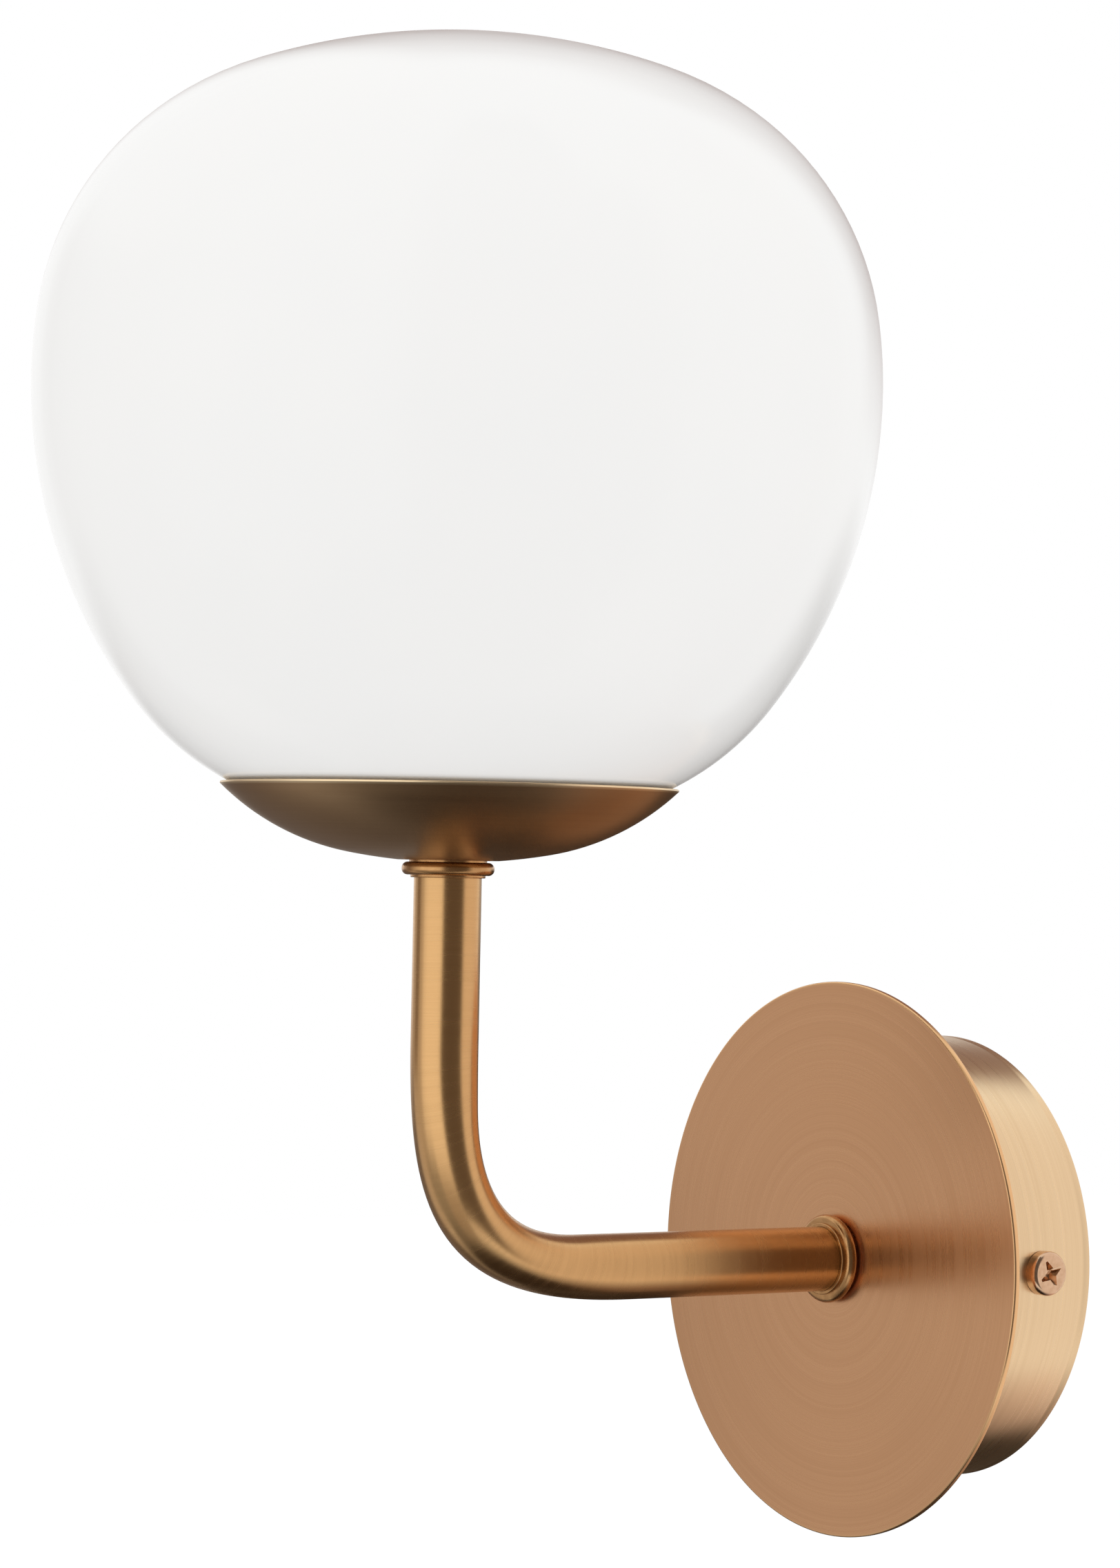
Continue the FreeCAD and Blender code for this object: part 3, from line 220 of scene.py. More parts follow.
def patch(first, last, low, high, soft):
    """Rows of (bearing, elevation) between two bearings and two elevations, with a soft border."""
    def stations(start, end):
        inner = round((end - start - 2 * soft) / CARD_STEP)
        middle = [start + soft + (end - start - 2 * soft) * number / inner for number in range(inner + 1)]
        return [start] + middle + [end]

    return [[(bearing, elevation) for bearing in stations(first, last)] for elevation in stations(low, high)]


soft_card("dark_card_near", patch(-69, -16, -32, 36, soft=8), (0.14, 0.12, 0.11), NEAR_CARD, ARM_END)
soft_card("dim_card_near", patch(203, 229, -18, 26, soft=5), (0.25, 0.21, 0.19), NEARER_CARD, ARM_UPRIGHT)
soft_card("dark_card_camera", patch(-54, 4, -42, 84, soft=9), (0.14, 0.12, 0.11))
soft_card("dim_card_outside", patch(-112, -42, -66, -22, soft=12), (0.45, 0.42, 0.40), FAR_CARD)
soft_card("dark_card_right", patch(-30, 26, -46, 62, soft=12), (0.15, 0.13, 0.12), FAR_CARD)
soft_card("bright_card_left", patch(-112, -46, -50, 60, soft=12), (1.15, 1.15, 1.14), FARTHER_CARD)
soft_card("dim_card_right", patch(14, 90, -66, 70, soft=12), (0.92, 0.86, 0.83), FARTHER_CARD)
soft_card("warm_card_low", patch(62, 116, -70, -34, soft=8), (0.98, 0.73, 0.64), FAR_CARD)
soft_card("dim_card_left", patch(-176, -112, -50, 34, soft=10), (0.60, 0.58, 0.57), FAR_CARD)
soft_card("dark_card_left", patch(148, 205, -58, -1, soft=8), (0.17, 0.15, 0.14))
soft_card("dim_card_low", patch(222, 268, -64, -18, soft=8), (0.35, 0.35, 0.35))
soft_card("dark_card_behind", patch(96, 158, -64, 6, soft=10), (0.04, 0.028, 0.02))
soft_card("dim_card_above", patch(100, 170, 8, 70, soft=12), (0.25, 0.16, 0.14), FAR_CARD)

below = []
for share in BELOW_SHARES:
    row = []
    for bearing in range(0, 361, BELOW_STEP):
        edge = BELOW_EDGE + BELOW_SWING * cos(radians(bearing - BELOW_BEARING))
        row.append((bearing, -90 + share * (edge + 90)))
    below.append(row)
soft_card("dark_card_below", below, (0.03, 0.022, 0.018), closed=True)

# Wall bracket: a steel strap with slots for two wall screws, a hole for the supply cable, an ear
# bent up at each end for a side screw and a tab below for the terminal block. It is zinc plated,
# like the ring tag and the other steel pieces.

SHEET_EDGE, TAG_EDGE = 0.00022, 0.0001
BEVEL_SEGMENTS, BEVEL_ANGLE = 2, radians(40)
NOISE_LOW, NOISE_HIGH = 0.35, 0.65
CLOUD_DETAIL = 2.0
GLOSS_LOW, GLOSS_HIGH = 0.85, 1.2
GRAIN_SIZE = 0.0002
ZINC, ZINC_BLOOM = (0.60, 0.61, 0.62), (0.50, 0.52, 0.55)


def place_on(tree):
    """The place on a piece, in metres."""
    return add(tree, "TexCoord").outputs["Object"]


def spread(tree, noise, low, high):
    """A noise spread between two numbers."""
    return add(tree, "MapRange", {
        "Value": noise, "From Min": NOISE_LOW, "From Max": NOISE_HIGH, "To Min": low, "To Max": high,
    }).outputs["Result"]


def clouds(tree, size):
    """A slow noise over a surface, in patches of a size in metres."""
    return add(tree, "TexNoise", {
        "Vector": place_on(tree), "Scale": 1 / size, "Detail": CLOUD_DETAIL}).outputs["Fac"]


def blended(tree, share, first, second):
    """A colour between two colours or sockets."""
    first = first if isinstance(first, bpy.types.NodeSocket) else (*first, 1)
    second = second if isinstance(second, bpy.types.NodeSocket) else (*second, 1)
    mix = add(tree, "Mix", data_type="RGBA")
    colours = [socket for socket in mix.inputs if socket.type == "RGBA"]
    for socket, given in ((mix.inputs[0], share), (colours[0], first), (colours[1], second)):
        if isinstance(given, bpy.types.NodeSocket):
            tree.links.new(given, socket)
        else:
            socket.default_value = given
    return next(socket for socket in mix.outputs if socket.type == "RGBA")


def cloudy(name, first, second, roughness, metallic=0.0, size=0.004, grain=0.0):
    """A material that drifts between two colours and a little in gloss, with a fine grain's depth."""
    material = new_material(name, first, roughness, metallic)
    tree, inputs = material.node_tree, shader_inputs(material)
    patches = clouds(tree, size)
    tree.links.new(blended(tree, spread(tree, patches, 0, 1), first, second), inputs["Base Color"])
    tree.links.new(spread(tree, patches, GLOSS_LOW * roughness, GLOSS_HIGH * roughness), inputs["Roughness"])
    if grain:
        bump = add(tree, "Bump", {"Height": clouds(tree, GRAIN_SIZE), "Distance": grain})
        tree.links.new(bump.outputs[0], inputs["Normal"])
    return material


def dress(name, material, edge=0.0):
    """Give a CAD node that stays its own material and, where an edge is given, soft edges."""
    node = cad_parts[name]
    for holder in node.material_slots:
        holder.material = material
    if edge:
        soft = node.modifiers.new("soft_edges", "BEVEL")
        soft.width = edge
        soft.segments = BEVEL_SEGMENTS
        soft.limit_method = "ANGLE"
        soft.angle_limit = BEVEL_ANGLE


zinc = cloudy("zinc_plate", ZINC, ZINC_BLOOM, 0.34, 1.0, size=0.003, grain=0.000004)
dress("wall_bracket", zinc, SHEET_EDGE)
dress("earth_tag", zinc, TAG_EDGE)

# Pan-head screws: rolled steel screws with a cross recess. One holds the earth tag and one holds
# the terminal block, both in tapped holes of the bracket. A screw's size is the radius and pitch
# of its thread, and the radius and height of its head.

M4, M3 = (0.00195, 0.0007, 0.00405, 0.0026), (0.00145, 0.0005, 0.0026, 0.0018)
EARTH_SCREW_X, EARTH_SCREW_TURN = 0.014, 0.4
BLOCK_SCREW_X, BLOCK_SCREW_Z, BLOCK_SCREW_TURN = -0.004, -0.0265, 1.1
TIP_FROM_WALL = 0.0003
TIP_SHARE = 0.8
HEAD_CROWN, HEAD_ROUND = 0.1, 0.36
RECESS_REACH, RECESS_WAIST, RECESS_TIP = 0.70, 0.21, 0.06
RECESS_DEPTH, RECESS_OVERCUT, RECESS_NARROWING = 0.38, 0.1, 0.45
THREAD_DEPTH, THREAD_STEPS = 0.6, 8
SCREW_SIDES = 64
CREASE = radians(35)


def rounded(outline, corners, steps=6):
    """An outline with some corners rounded: corners gives the radius for a point's number."""
    points = []
    for index, place in enumerate(outline):
        if index not in corners:
            points.append(place)
            continue
        corner = Vector(place)
        before = (Vector(outline[index - 1]) - corner).normalized()
        after = (Vector(outline[(index + 1) % len(outline)]) - corner).normalized()
        half = before.angle(after) / 2
        middle = corner + (before + after).normalized() * (corners[index] / sin(half))
        reach = corners[index] / tan(half)
        first = corner + before * reach - middle
        last = corner + after * reach - middle
        for step in range(steps + 1):
            spoke = first.lerp(last, step / steps).normalized() * corners[index]
            points.append(tuple(middle + spoke))
    return points


def wave(depth, angle):
    """A smooth cut between nothing and a depth, deepest at an angle of 0."""
    return depth * (0.5 + 0.5 * cos(angle))


def threaded(radius, first, last, pitch, depth):
    """Outline points of a thread cut into a radius between two places, shallow at both ends."""
    count = max(2, round(abs(last - first) / pitch * THREAD_STEPS))

    def point(number):
        place = first + (last - first) * number / count
        cut = depth * min(1, number / THREAD_STEPS, (count - number) / THREAD_STEPS)
        return radius, place, lambda angle: wave(cut, 2 * pi * place / pitch - angle)

    return [point(number) for number in range(count + 1)]


def finished(name, shape):
    """Turn a finished shape into a smooth piece, with its sharp edges kept crisp."""
    bmesh.ops.recalc_face_normals(shape, faces=shape.faces)
    mesh = bpy.data.meshes.new(name)
    shape.to_mesh(mesh)
    shape.free()
    mesh.shade_smooth()
    mesh.set_sharp_from_angle(angle=CREASE)
    return new_object(name, mesh)


def turned(name, outline, places, sides=128, closed=True):
    """A piece turned about an axis, once in each of some places.

    An outline point gives a radius and a place along the axis, and some give a cut round it.
    """
    shape = bmesh.new()
    for place in places:
        rings = []
        for radius, along, *cut in outline:
            ring = []
            for side in range(sides if radius > 0 else 1):
                angle = 2 * pi * side / sides
                reach = radius - (cut[0](angle) if cut else 0)
                ring.append(shape.verts.new(place @ Vector((reach * cos(angle), reach * sin(angle), along))))
            rings.append(ring)
        for near, far in zip(rings, rings[1:] + rings[:1] if closed else rings[1:]):
            for side in range(sides):
                after = (side + 1) % sides
                corners = [
                    near[side % len(near)], near[after % len(near)],
                    far[after % len(far)], far[side % len(far)]]
                corners = list(dict.fromkeys(corners))
                if len(corners) > 2:
                    shape.faces.new(corners)
    return finished(name, shape)


def cut_away(piece, outline, top, depth, narrowing, places):
    """Cut a recess into a piece: an outline across the axis that may narrow towards its bottom."""
    shape = bmesh.new()
    for place in places:
        rings = []
        for share, along in ((1.0, top), (narrowing, top - depth)):
            rings.append([shape.verts.new(place @ Vector((share * x, share * y, along))) for x, y in outline])
        shape.faces.new(rings[0])
        shape.faces.new(rings[1][::-1])
        for index in range(len(outline)):
            before = index - 1
            shape.faces.new((rings[0][before], rings[1][before], rings[1][index], rings[0][index]))
    cutter = finished("cutter", shape)
    boolean = piece.modifiers.new("recess", "BOOLEAN")
    boolean.object = cutter
    boolean.solver = "EXACT"
    carved = piece.evaluated_get(bpy.context.evaluated_depsgraph_get())
    mesh = bpy.data.meshes.new_from_object(carved)
    piece.modifiers.clear()
    piece.data = mesh
    bpy.data.objects.remove(cutter)
    mesh.shade_smooth()
    mesh.set_sharp_from_angle(angle=CREASE)


def fit(piece, body, slot, material, *nodes):
    """Dress a piece, put it in place of CAD nodes and let it move with a body."""
    piece.data.materials.clear()
    piece.data.materials.append(material)
    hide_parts(*nodes)
    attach(piece, body)


def pan_screws(name, places, length, size):
    """Pan-head screws of a length and a size, each with its tip at its place and its head outwards."""
    radius, pitch, head_radius, head_height = size
    top = length + head_height
    head = rounded([
        (head_radius, length), (head_radius, top - HEAD_CROWN * head_height), (0, top), (0, length),
    ], {1: HEAD_ROUND * head_height})[:-1]
    shank = threaded(radius, pitch / 3, length - pitch / 4, pitch, THREAD_DEPTH * pitch)
    outline = [(0, 0), (TIP_SHARE * radius, 0)] + shank + [(radius, length)] + head
    screw = turned(name, outline, places, sides=SCREW_SIDES, closed=False)
    arm = [(head_radius * across, head_radius * aside) for across, aside in (
        (RECESS_REACH, -RECESS_TIP), (RECESS_REACH, RECESS_TIP), (RECESS_WAIST, RECESS_WAIST))]
    cross = []
    for quarter in range(4):
        turn = Matrix.Rotation(quarter * pi / 2, 2)
        cross += [tuple(turn @ Vector(point)) for point in arm]
    deep = RECESS_DEPTH * head_radius
    cut_away(screw, cross, top + RECESS_OVERCUT * deep, (1 + RECESS_OVERCUT) * deep, RECESS_NARROWING, places)
    return screw


def out_from_wall(x=0.0, z=0.0, away=0.0, turn=0.0):
    """A place with its axis straight out of the wall."""
    return Matrix.Translation((x, -away, z)) @ Matrix.Rotation(pi / 2, 4, "X") @ Matrix.Rotation(turn, 4, "Z")


for name, node, x, z, turn, size in (
        ("earth_pan_screw", "earth_screw", EARTH_SCREW_X, 0, EARTH_SCREW_TURN, M4),
        ("block_pan_screw", "block_screw", BLOCK_SCREW_X, BLOCK_SCREW_Z, BLOCK_SCREW_TURN, M3)):
    screw_length = -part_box(node)[0].y - TIP_FROM_WALL - size[3]
    screw_place = out_from_wall(x, z, TIP_FROM_WALL, turn)
    fit(pan_screws(name, [screw_place], screw_length, size), "fixture", "zinc_steel", zinc, node)

# Terminal block: a moulded white body with three brass clamps in it. Each clamp has two slotted
# steel screws, one for a supply core and one for the light's own wire.

CLAMP_SCREW, CLAMP_PITCH, CLAMP_SIDES = 0.0014, 0.0005, 40
CLAMP_TIP, CLAMP_TOP, CLAMP_RUN_OUT = 0.0008, 0.0012, 0.0003
SLOT_HALF_WIDTH, SLOT_DEPTH, SLOT_OVERCUT = 0.0003, 0.0008, 0.0002
SLOT_TURNS = (20, 75, 140, 45, 110, 165)
BLOCK_EDGE = 0.0003
WHITE_PLASTIC, WHITE_SHADE = (0.80, 0.80, 0.77), (0.76, 0.76, 0.72)
RAW_BRASS, DULL_BRASS = (0.78, 0.58, 0.27), (0.66, 0.47, 0.20)

white_plastic = cloudy("moulded_white", WHITE_PLASTIC, WHITE_SHADE, 0.38, size=0.01, grain=0.000012)
raw_brass = cloudy("machined_brass", RAW_BRASS, DULL_BRASS, 0.24, 1.0, size=0.002)
dress("terminal_block", white_plastic, BLOCK_EDGE)
dress("terminal_clamps", raw_brass)

clamps_low, clamps_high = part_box("terminal_screws")
clamp_length = clamps_high.y - clamps_low.y
slot_turns = iter(SLOT_TURNS)
clamp_places = [
    out_from_wall(x, z, -clamps_high.y, radians(next(slot_turns)))
    for x in (clamps_low.x + CLAMP_SCREW, 0, clamps_high.x - CLAMP_SCREW)
    for z in (clamps_low.z + CLAMP_SCREW, clamps_high.z - CLAMP_SCREW)]
clamp_outline = [(0, 0), (CLAMP_TIP, 0)] + threaded(
    CLAMP_SCREW, CLAMP_RUN_OUT, clamp_length - CLAMP_RUN_OUT, CLAMP_PITCH, THREAD_DEPTH * CLAMP_PITCH)
clamp_outline += [(CLAMP_TOP, clamp_length), (0, clamp_length)]
clamp_screws = turned("slotted_clamp_screws", clamp_outline, clamp_places, sides=CLAMP_SIDES, closed=False)
cut_away(clamp_screws, rectangle(2 * CLAMP_SCREW, SLOT_HALF_WIDTH), clamp_length + SLOT_OVERCUT,
         SLOT_OVERCUT + SLOT_DEPTH, 1.0, clamp_places)
fit(clamp_screws, "fixture", "zinc_steel", zinc, "terminal_screws")

# Canopy drum: pressed from sheet brass, brushed round its side and lacquered, with a fine roll
# near the wall and a hole each side for the screws that hold it on the bracket.

DRUM_WALL, DRUM_CORNER, DRUM_RIM_EDGE, DRUM_SIDES = 0.001, 0.0008, 0.00012, 256
ROLL_FROM_WALL, ROLL_DEPTH, ROLL_WIDTH = 0.0016, 0.00008, 0.0003
NIPPLE_HOLE = 0.00515
SIDE_SCREW_AWAY, SIDE_SCREW_HOLE, HOLE_SIDES = 0.0115, 0.00225, 32
MARK_DETAIL = 3.0
FINE_SHARE, BROAD_LINE, BROAD_RUN = 0.75, 6, 2
ACROSS_MARKS = 0.25
ROUND_Y = {"direction_type": "RADIAL", "axis": "Y"}
DRUM_BRASS, DRUM_BROWN = (0.91, 0.69, 0.43), (0.86, 0.64, 0.385)

drum_low, drum_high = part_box("canopy_drum")
DRUM_RADIUS = drum_high.x
drum_front = -drum_low.y
WALL_AXIS = [out_from_wall()]
drum_outline = rounded([
    (DRUM_RADIUS - DRUM_WALL, 0), (DRUM_RADIUS - DRUM_RIM_EDGE, 0), (DRUM_RADIUS, DRUM_RIM_EDGE),
    (DRUM_RADIUS, ROLL_FROM_WALL - ROLL_WIDTH), (DRUM_RADIUS - ROLL_DEPTH, ROLL_FROM_WALL),
    (DRUM_RADIUS, ROLL_FROM_WALL + ROLL_WIDTH), (DRUM_RADIUS, drum_front), (NIPPLE_HOLE, drum_front),
    (NIPPLE_HOLE, drum_front - DRUM_WALL), (DRUM_RADIUS - DRUM_WALL, drum_front - DRUM_WALL),
], {6: DRUM_CORNER})


def circle(radius):
    """A round outline."""
    angles = [2 * pi * side / HOLE_SIDES for side in range(HOLE_SIDES)]
    return [(radius * cos(angle), radius * sin(angle)) for angle in angles]


def marks(tree, place, line, run):
    """Noise in lines round a piece: each line's width and the run before it fades, in metres."""
    wide = add(tree, "VectorMath", {0: place_on(tree), "Scale": 1 / run}, operation="SCALE")
    offset = add(tree, "CombineXYZ", {"X": reckon(tree, "MULTIPLY", place, 1 / line)})
    vector = add(tree, "VectorMath", {0: wide.outputs[0], 1: offset.outputs[0]}, operation="ADD")
    noise = add(tree, "TexNoise", {"Vector": vector.outputs[0], "Scale": 1.0, "Detail": MARK_DETAIL})
    return noise.outputs["Fac"]


def brushed(name, light, dark, roughness, along, line, run=0.03, depth=0.000012, drift=0.08,
            tangent=None, streak=0.7):
    """Metal brushed round a piece: two tones in fine lines, with shallow grooves."""
    material = new_material(name, light, roughness, 1.0)
    tree, inputs = material.node_tree, shader_inputs(material)
    place = along(tree)
    fine = marks(tree, place, line, run)
    broad = marks(tree, place, BROAD_LINE * line, BROAD_RUN * run)
    tone = reckon(tree, "ADD", spread(tree, fine, 0, FINE_SHARE), spread(tree, broad, 0, 1 - FINE_SHARE))
    tree.links.new(blended(tree, tone, light, dark), inputs["Base Color"])
    uneven = spread(tree, broad, (1 - drift) * roughness, (1 + drift) * roughness)
    tree.links.new(uneven, inputs["Roughness"])
    bump = add(tree, "Bump", {"Height": fine, "Distance": depth})
    tree.links.new(bump.outputs[0], inputs["Normal"])
    if tangent:
        inputs["Anisotropic"].default_value = streak
        inputs["Anisotropic Rotation"].default_value = ACROSS_MARKS
        tree.links.new(add(tree, "Tangent", **tangent).outputs[0], inputs["Tangent"])
    return material


def from_wall(tree):
    """How far a place on a piece lies from the wall."""
    return add(tree, "SeparateXYZ", {0: place_on(tree)}).outputs["Y"]


drum_metal = brushed("brushed_drum_brass", DRUM_BRASS, DRUM_BROWN, 0.29, from_wall, line=0.00018,
                     run=0.06, depth=0.000004, tangent=ROUND_Y)
drum = turned("pressed_drum", drum_outline, WALL_AXIS, sides=DRUM_SIDES)
both_sides = []
for turn in (0, pi):
    sideways = Matrix.Rotation(turn, 4, "Z") @ Matrix.Rotation(pi / 2, 4, "Y")
    both_sides.append(Matrix.Translation((0, -SIDE_SCREW_AWAY, 0)) @ sideways)
cut_away(drum, circle(SIDE_SCREW_HOLE), DRUM_RADIUS + DRUM_WALL, 3 * DRUM_WALL, 1.0, both_sides)
fit(drum, "fixture", "drum_brass", drum_metal, "canopy_drum")

# Side screws: two polished brass pan-head screws, one each side. They go through the drum's side
# into the bracket's ears and hold the canopy on it.

SIDE_SCREW_LENGTH, SIDE_SCREW_TURN = 0.007, radians(28)
SCREW_BRASS, SCREW_BROWN = (0.74, 0.50, 0.33), (0.66, 0.43, 0.27)

screw_metal = cloudy("polished_screw_brass", SCREW_BRASS, SCREW_BROWN, 0.17, 1.0, size=0.001)
screwed_in = Matrix.Translation((0, 0, DRUM_RADIUS - SIDE_SCREW_LENGTH))
screwed_in = screwed_in @ Matrix.Rotation(SIDE_SCREW_TURN, 4, "Z")
side_screws = pan_screws("side_pan_screws", [side @ screwed_in for side in both_sides], SIDE_SCREW_LENGTH, M4)
fit(side_screws, "fixture", "screw_brass", screw_metal, "side_screws")

# Face plate: a flat brass disc in front of the drum, turned on its face in fine rings and
# lacquered, its thin edge rounded, with a highlight painted along it in a brighter colour.

PLATE_EDGE_ROUND = 0.00035
PLATE_BRASS, PLATE_BROWN = (0.765, 0.428, 0.228), (0.71, 0.388, 0.203)
EDGE_HIGHLIGHT, EDGE_START, EDGE_FULL = (0.88, 0.54, 0.27), 0.0005, 0.0002

plate_low, plate_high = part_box("face_plate")
PLATE_RADIUS = plate_high.x
plate_back, plate_front = -plate_high.y, -plate_low.y
plate_outline = rounded([
    (NIPPLE_HOLE, plate_back), (PLATE_RADIUS, plate_back), (PLATE_RADIUS, plate_front),
    (NIPPLE_HOLE, plate_front),
], {1: PLATE_EDGE_ROUND, 2: PLATE_EDGE_ROUND})


def from_level_axis(tree):
    """How far a place on a piece lies from the arm's level axis."""
    flat = add(tree, "VectorMath", {0: place_on(tree), 1: (1, 0, 1)}, operation="MULTIPLY")
    return add(tree, "VectorMath", {0: flat.outputs[0]}, operation="LENGTH").outputs["Value"]


def painted_highlight(material, place, start, full, bright):
    """Paint a highlight, turning a material's colour brighter where a place on it runs from start to full."""
    tree, inputs = material.node_tree, shader_inputs(material)
    share = add(tree, "MapRange", {"Value": place(tree), "From Min": start, "From Max": full})
    metal = inputs["Base Color"].links[0].from_socket
    tree.links.new(blended(tree, share.outputs["Result"], metal, bright), inputs["Base Color"])


plate_metal = brushed("turned_plate_brass", PLATE_BRASS, PLATE_BROWN, 0.28, from_level_axis,
                      line=0.0002, depth=0.000003, tangent=ROUND_Y, streak=0.35)
painted_highlight(plate_metal, from_level_axis, PLATE_RADIUS - EDGE_START, PLATE_RADIUS - EDGE_FULL, EDGE_HIGHLIGHT)
fit(turned("turned_plate", plate_outline, WALL_AXIS, sides=DRUM_SIDES), "fixture", "plate_brass",
    plate_metal, "face_plate")

# Hollow nipples: steel tube threaded all over, one at each end of the arm. The lower one draws
# drum, plate and arm together with a washer and a nut, and a plastic bush covers its raw end.

NIPPLE_BORE, NIPPLE_RADIUS, NIPPLE_SIDES = 0.00375, 0.005, 64
NIPPLE_PITCH, NIPPLE_CHAMFER = 0.001, 0.0004
WASHER_EDGE, NUT_EDGE = 0.0001, 0.00035

glass_low, glass_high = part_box("glass_globe")
AXIS_Y = (glass_low.y + glass_high.y) / 2
GLOBE_AXIS = [Matrix.Translation((0, AXIS_Y, 0))]


def hollow_nipple(name, low, high, places):
    """A tube with a thread from end to end."""
    end = NIPPLE_RADIUS - NIPPLE_CHAMFER
    thread = threaded(NIPPLE_RADIUS, low + NIPPLE_CHAMFER, high - NIPPLE_CHAMFER, NIPPLE_PITCH,
                      THREAD_DEPTH * NIPPLE_PITCH)
    outline = [(NIPPLE_BORE, low), (end, low)] + thread + [(end, high), (NIPPLE_BORE, high)]
    return turned(name, outline, places, sides=NIPPLE_SIDES)


nipple_low, nipple_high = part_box("wall_nipple")
fit(hollow_nipple("threaded_wall_nipple", -nipple_high.y, -nipple_low.y, WALL_AXIS), "fixture",
    "zinc_steel", zinc, "wall_nipple")
nipple_low, nipple_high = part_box("cup_nipple")
fit(hollow_nipple("threaded_cup_nipple", nipple_low.z, nipple_high.z, GLOBE_AXIS), "fixture",
    "zinc_steel", zinc, "cup_nipple")
for end in ("wall", "cup"):
    dress(end + "_washer", zinc, WASHER_EDGE)
    dress(end + "_nut", zinc, NUT_EDGE)
dress("nipple_bush", white_plastic, WASHER_EDGE)

# Arm: a 12 mm brass tube bent once, brushed round and lacquered. Bending flattened it a little
# between the inner and the outer side of its bend, and made it wider across.

TUBE_BORE = 0.0045
OUTER_REACH, OUTER_PULL = 0.047, 0.76
INNER_REACH, INNER_PULL = 0.0234, 0.67
BEND_STEPS, BEND_WIDENING = 48, 0.0005
TUBE_SIDES = 96
LEAST_LEVEL = 0.0001
ARM_BRASS, ARM_BROWN = (0.70, 0.415, 0.182), (0.665, 0.39, 0.168)

arm_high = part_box("arm_tube")[1]
TUBE_RADIUS = arm_high.x
BEND_RADIUS = OUTER_REACH - TUBE_RADIUS
BEND_CENTRE = Vector((AXIS_Y + BEND_RADIUS, BEND_RADIUS))


def bend_line(away, reach, pull):
    """A side of the tube in the plane of its bend: upright, eased round a corner, then level.

    away is how far the side lies from the arm's axis, below zero on the outer side. reach is how far
    from its corner the side starts to curve, and pull how sharply it turns there, from 0 to 1.
    """
    corner = Vector((AXIS_Y + away, away, 0))
    upright, level = Vector((0, reach, 0)), Vector((reach, 0, 0))
    curve = interpolate_bezier(
        corner + upright, corner + (1 - pull) * upright, corner + (1 - pull) * level, corner + level,
        4 * BEND_STEPS)
    line = [point.xy for point in curve]
    return [Vector((corner.x, arm_high.z))] + line + [Vector((arm_high.y, corner.y))]


def crossing(line, share):
    """Where a side of the tube is cut by a ray from the bend's centre, at a share of the bend."""
    angle = pi + pi / 2 * share
    aside = Vector((-sin(angle), cos(angle)))
    for near, far in zip(line, line[1:]):
        before, after = aside.dot(near - BEND_CENTRE), aside.dot(far - BEND_CENTRE)
        if before <= 0 < after:
            return near.lerp(far, before / (before - after))


def swept_tube(name, outside, bore):
    """The bent tube, as rings from its upper end to its lower one and back, with a map round it."""
    shape = bmesh.new()
    map_layer = shape.loops.layers.uv.new("round_tube")
    rings = []
    for radius in (outside, bore):
        outer = bend_line(-radius, OUTER_REACH - outside + radius, OUTER_PULL)
        inner = bend_line(radius, INNER_REACH + outside - radius, INNER_PULL)
        stations = [(outer[0], inner[0], 0)]
        for step in range(BEND_STEPS + 1):
            share = step / BEND_STEPS
            stations.append((crossing(outer, share), crossing(inner, share), sin(pi * share) ** 2))
        stations.append((outer[-1], inner[-1], 0))
        for outer_side, inner_side, flattened in stations if radius == outside else stations[::-1]:
            middle, half = (outer_side + inner_side) / 2, (outer_side - inner_side) / 2
            across = radius + BEND_WIDENING * flattened
            ring = []
            for side in range(TUBE_SIDES):
                turn = 2 * pi * side / TUBE_SIDES
                point = middle + half * cos(turn)
                ring.append(shape.verts.new((across * sin(turn), point.x, point.y)))
            rings.append(ring)
    for station, (near, far) in enumerate(zip(rings, rings[1:] + rings[:1])):
        for side in range(TUBE_SIDES):
            after = (side + 1) % TUBE_SIDES
            face = shape.faces.new((near[side], near[after], far[after], far[side]))
            map_places = ((side, station), (side + 1, station), (side + 1, station + 1), (side, station + 1))
            for loop, (turn, length) in zip(face.loops, map_places):
                loop[map_layer].uv = (turn / TUBE_SIDES, length / len(rings))
    return finished(name, shape)


def along_arm(tree):
    """How far a place on the tube lies along its bent axis."""
    place = add(tree, "SeparateXYZ", {0: place_on(tree)}).outputs
    before_bend = reckon(tree, "SUBTRACT", BEND_CENTRE.x, place["Y"])
    over_bend = reckon(tree, "SUBTRACT", BEND_CENTRE.y, place["Z"])
    level = reckon(tree, "MAXIMUM", before_bend, LEAST_LEVEL)
    turn = reckon(tree, "ARCTAN2", reckon(tree, "MAXIMUM", over_bend, 0.0), level)
    rising = reckon(tree, "MINIMUM", over_bend, 0.0)
    upright = reckon(tree, "ADD", reckon(tree, "MULTIPLY", turn, BEND_RADIUS), rising)
    return reckon(tree, "SUBTRACT", upright, reckon(tree, "MINIMUM", before_bend, 0.0))


arm_metal = brushed(
    "brushed_arm_brass", ARM_BRASS, ARM_BROWN, 0.26, along_arm, line=0.00016, run=0.01, depth=0.0000025,
    tangent={"direction_type": "UV_MAP", "uv_map": "round_tube"}, streak=0.5)
fit(swept_tube("bent_arm", TUBE_RADIUS, TUBE_BORE), "fixture", "arm_brass", arm_metal, "arm_tube")

# Collars: a turned brass ring with a bead slips over each end of the tube and hides the joint. It
# is lacquered like the arm and polished on its bead.

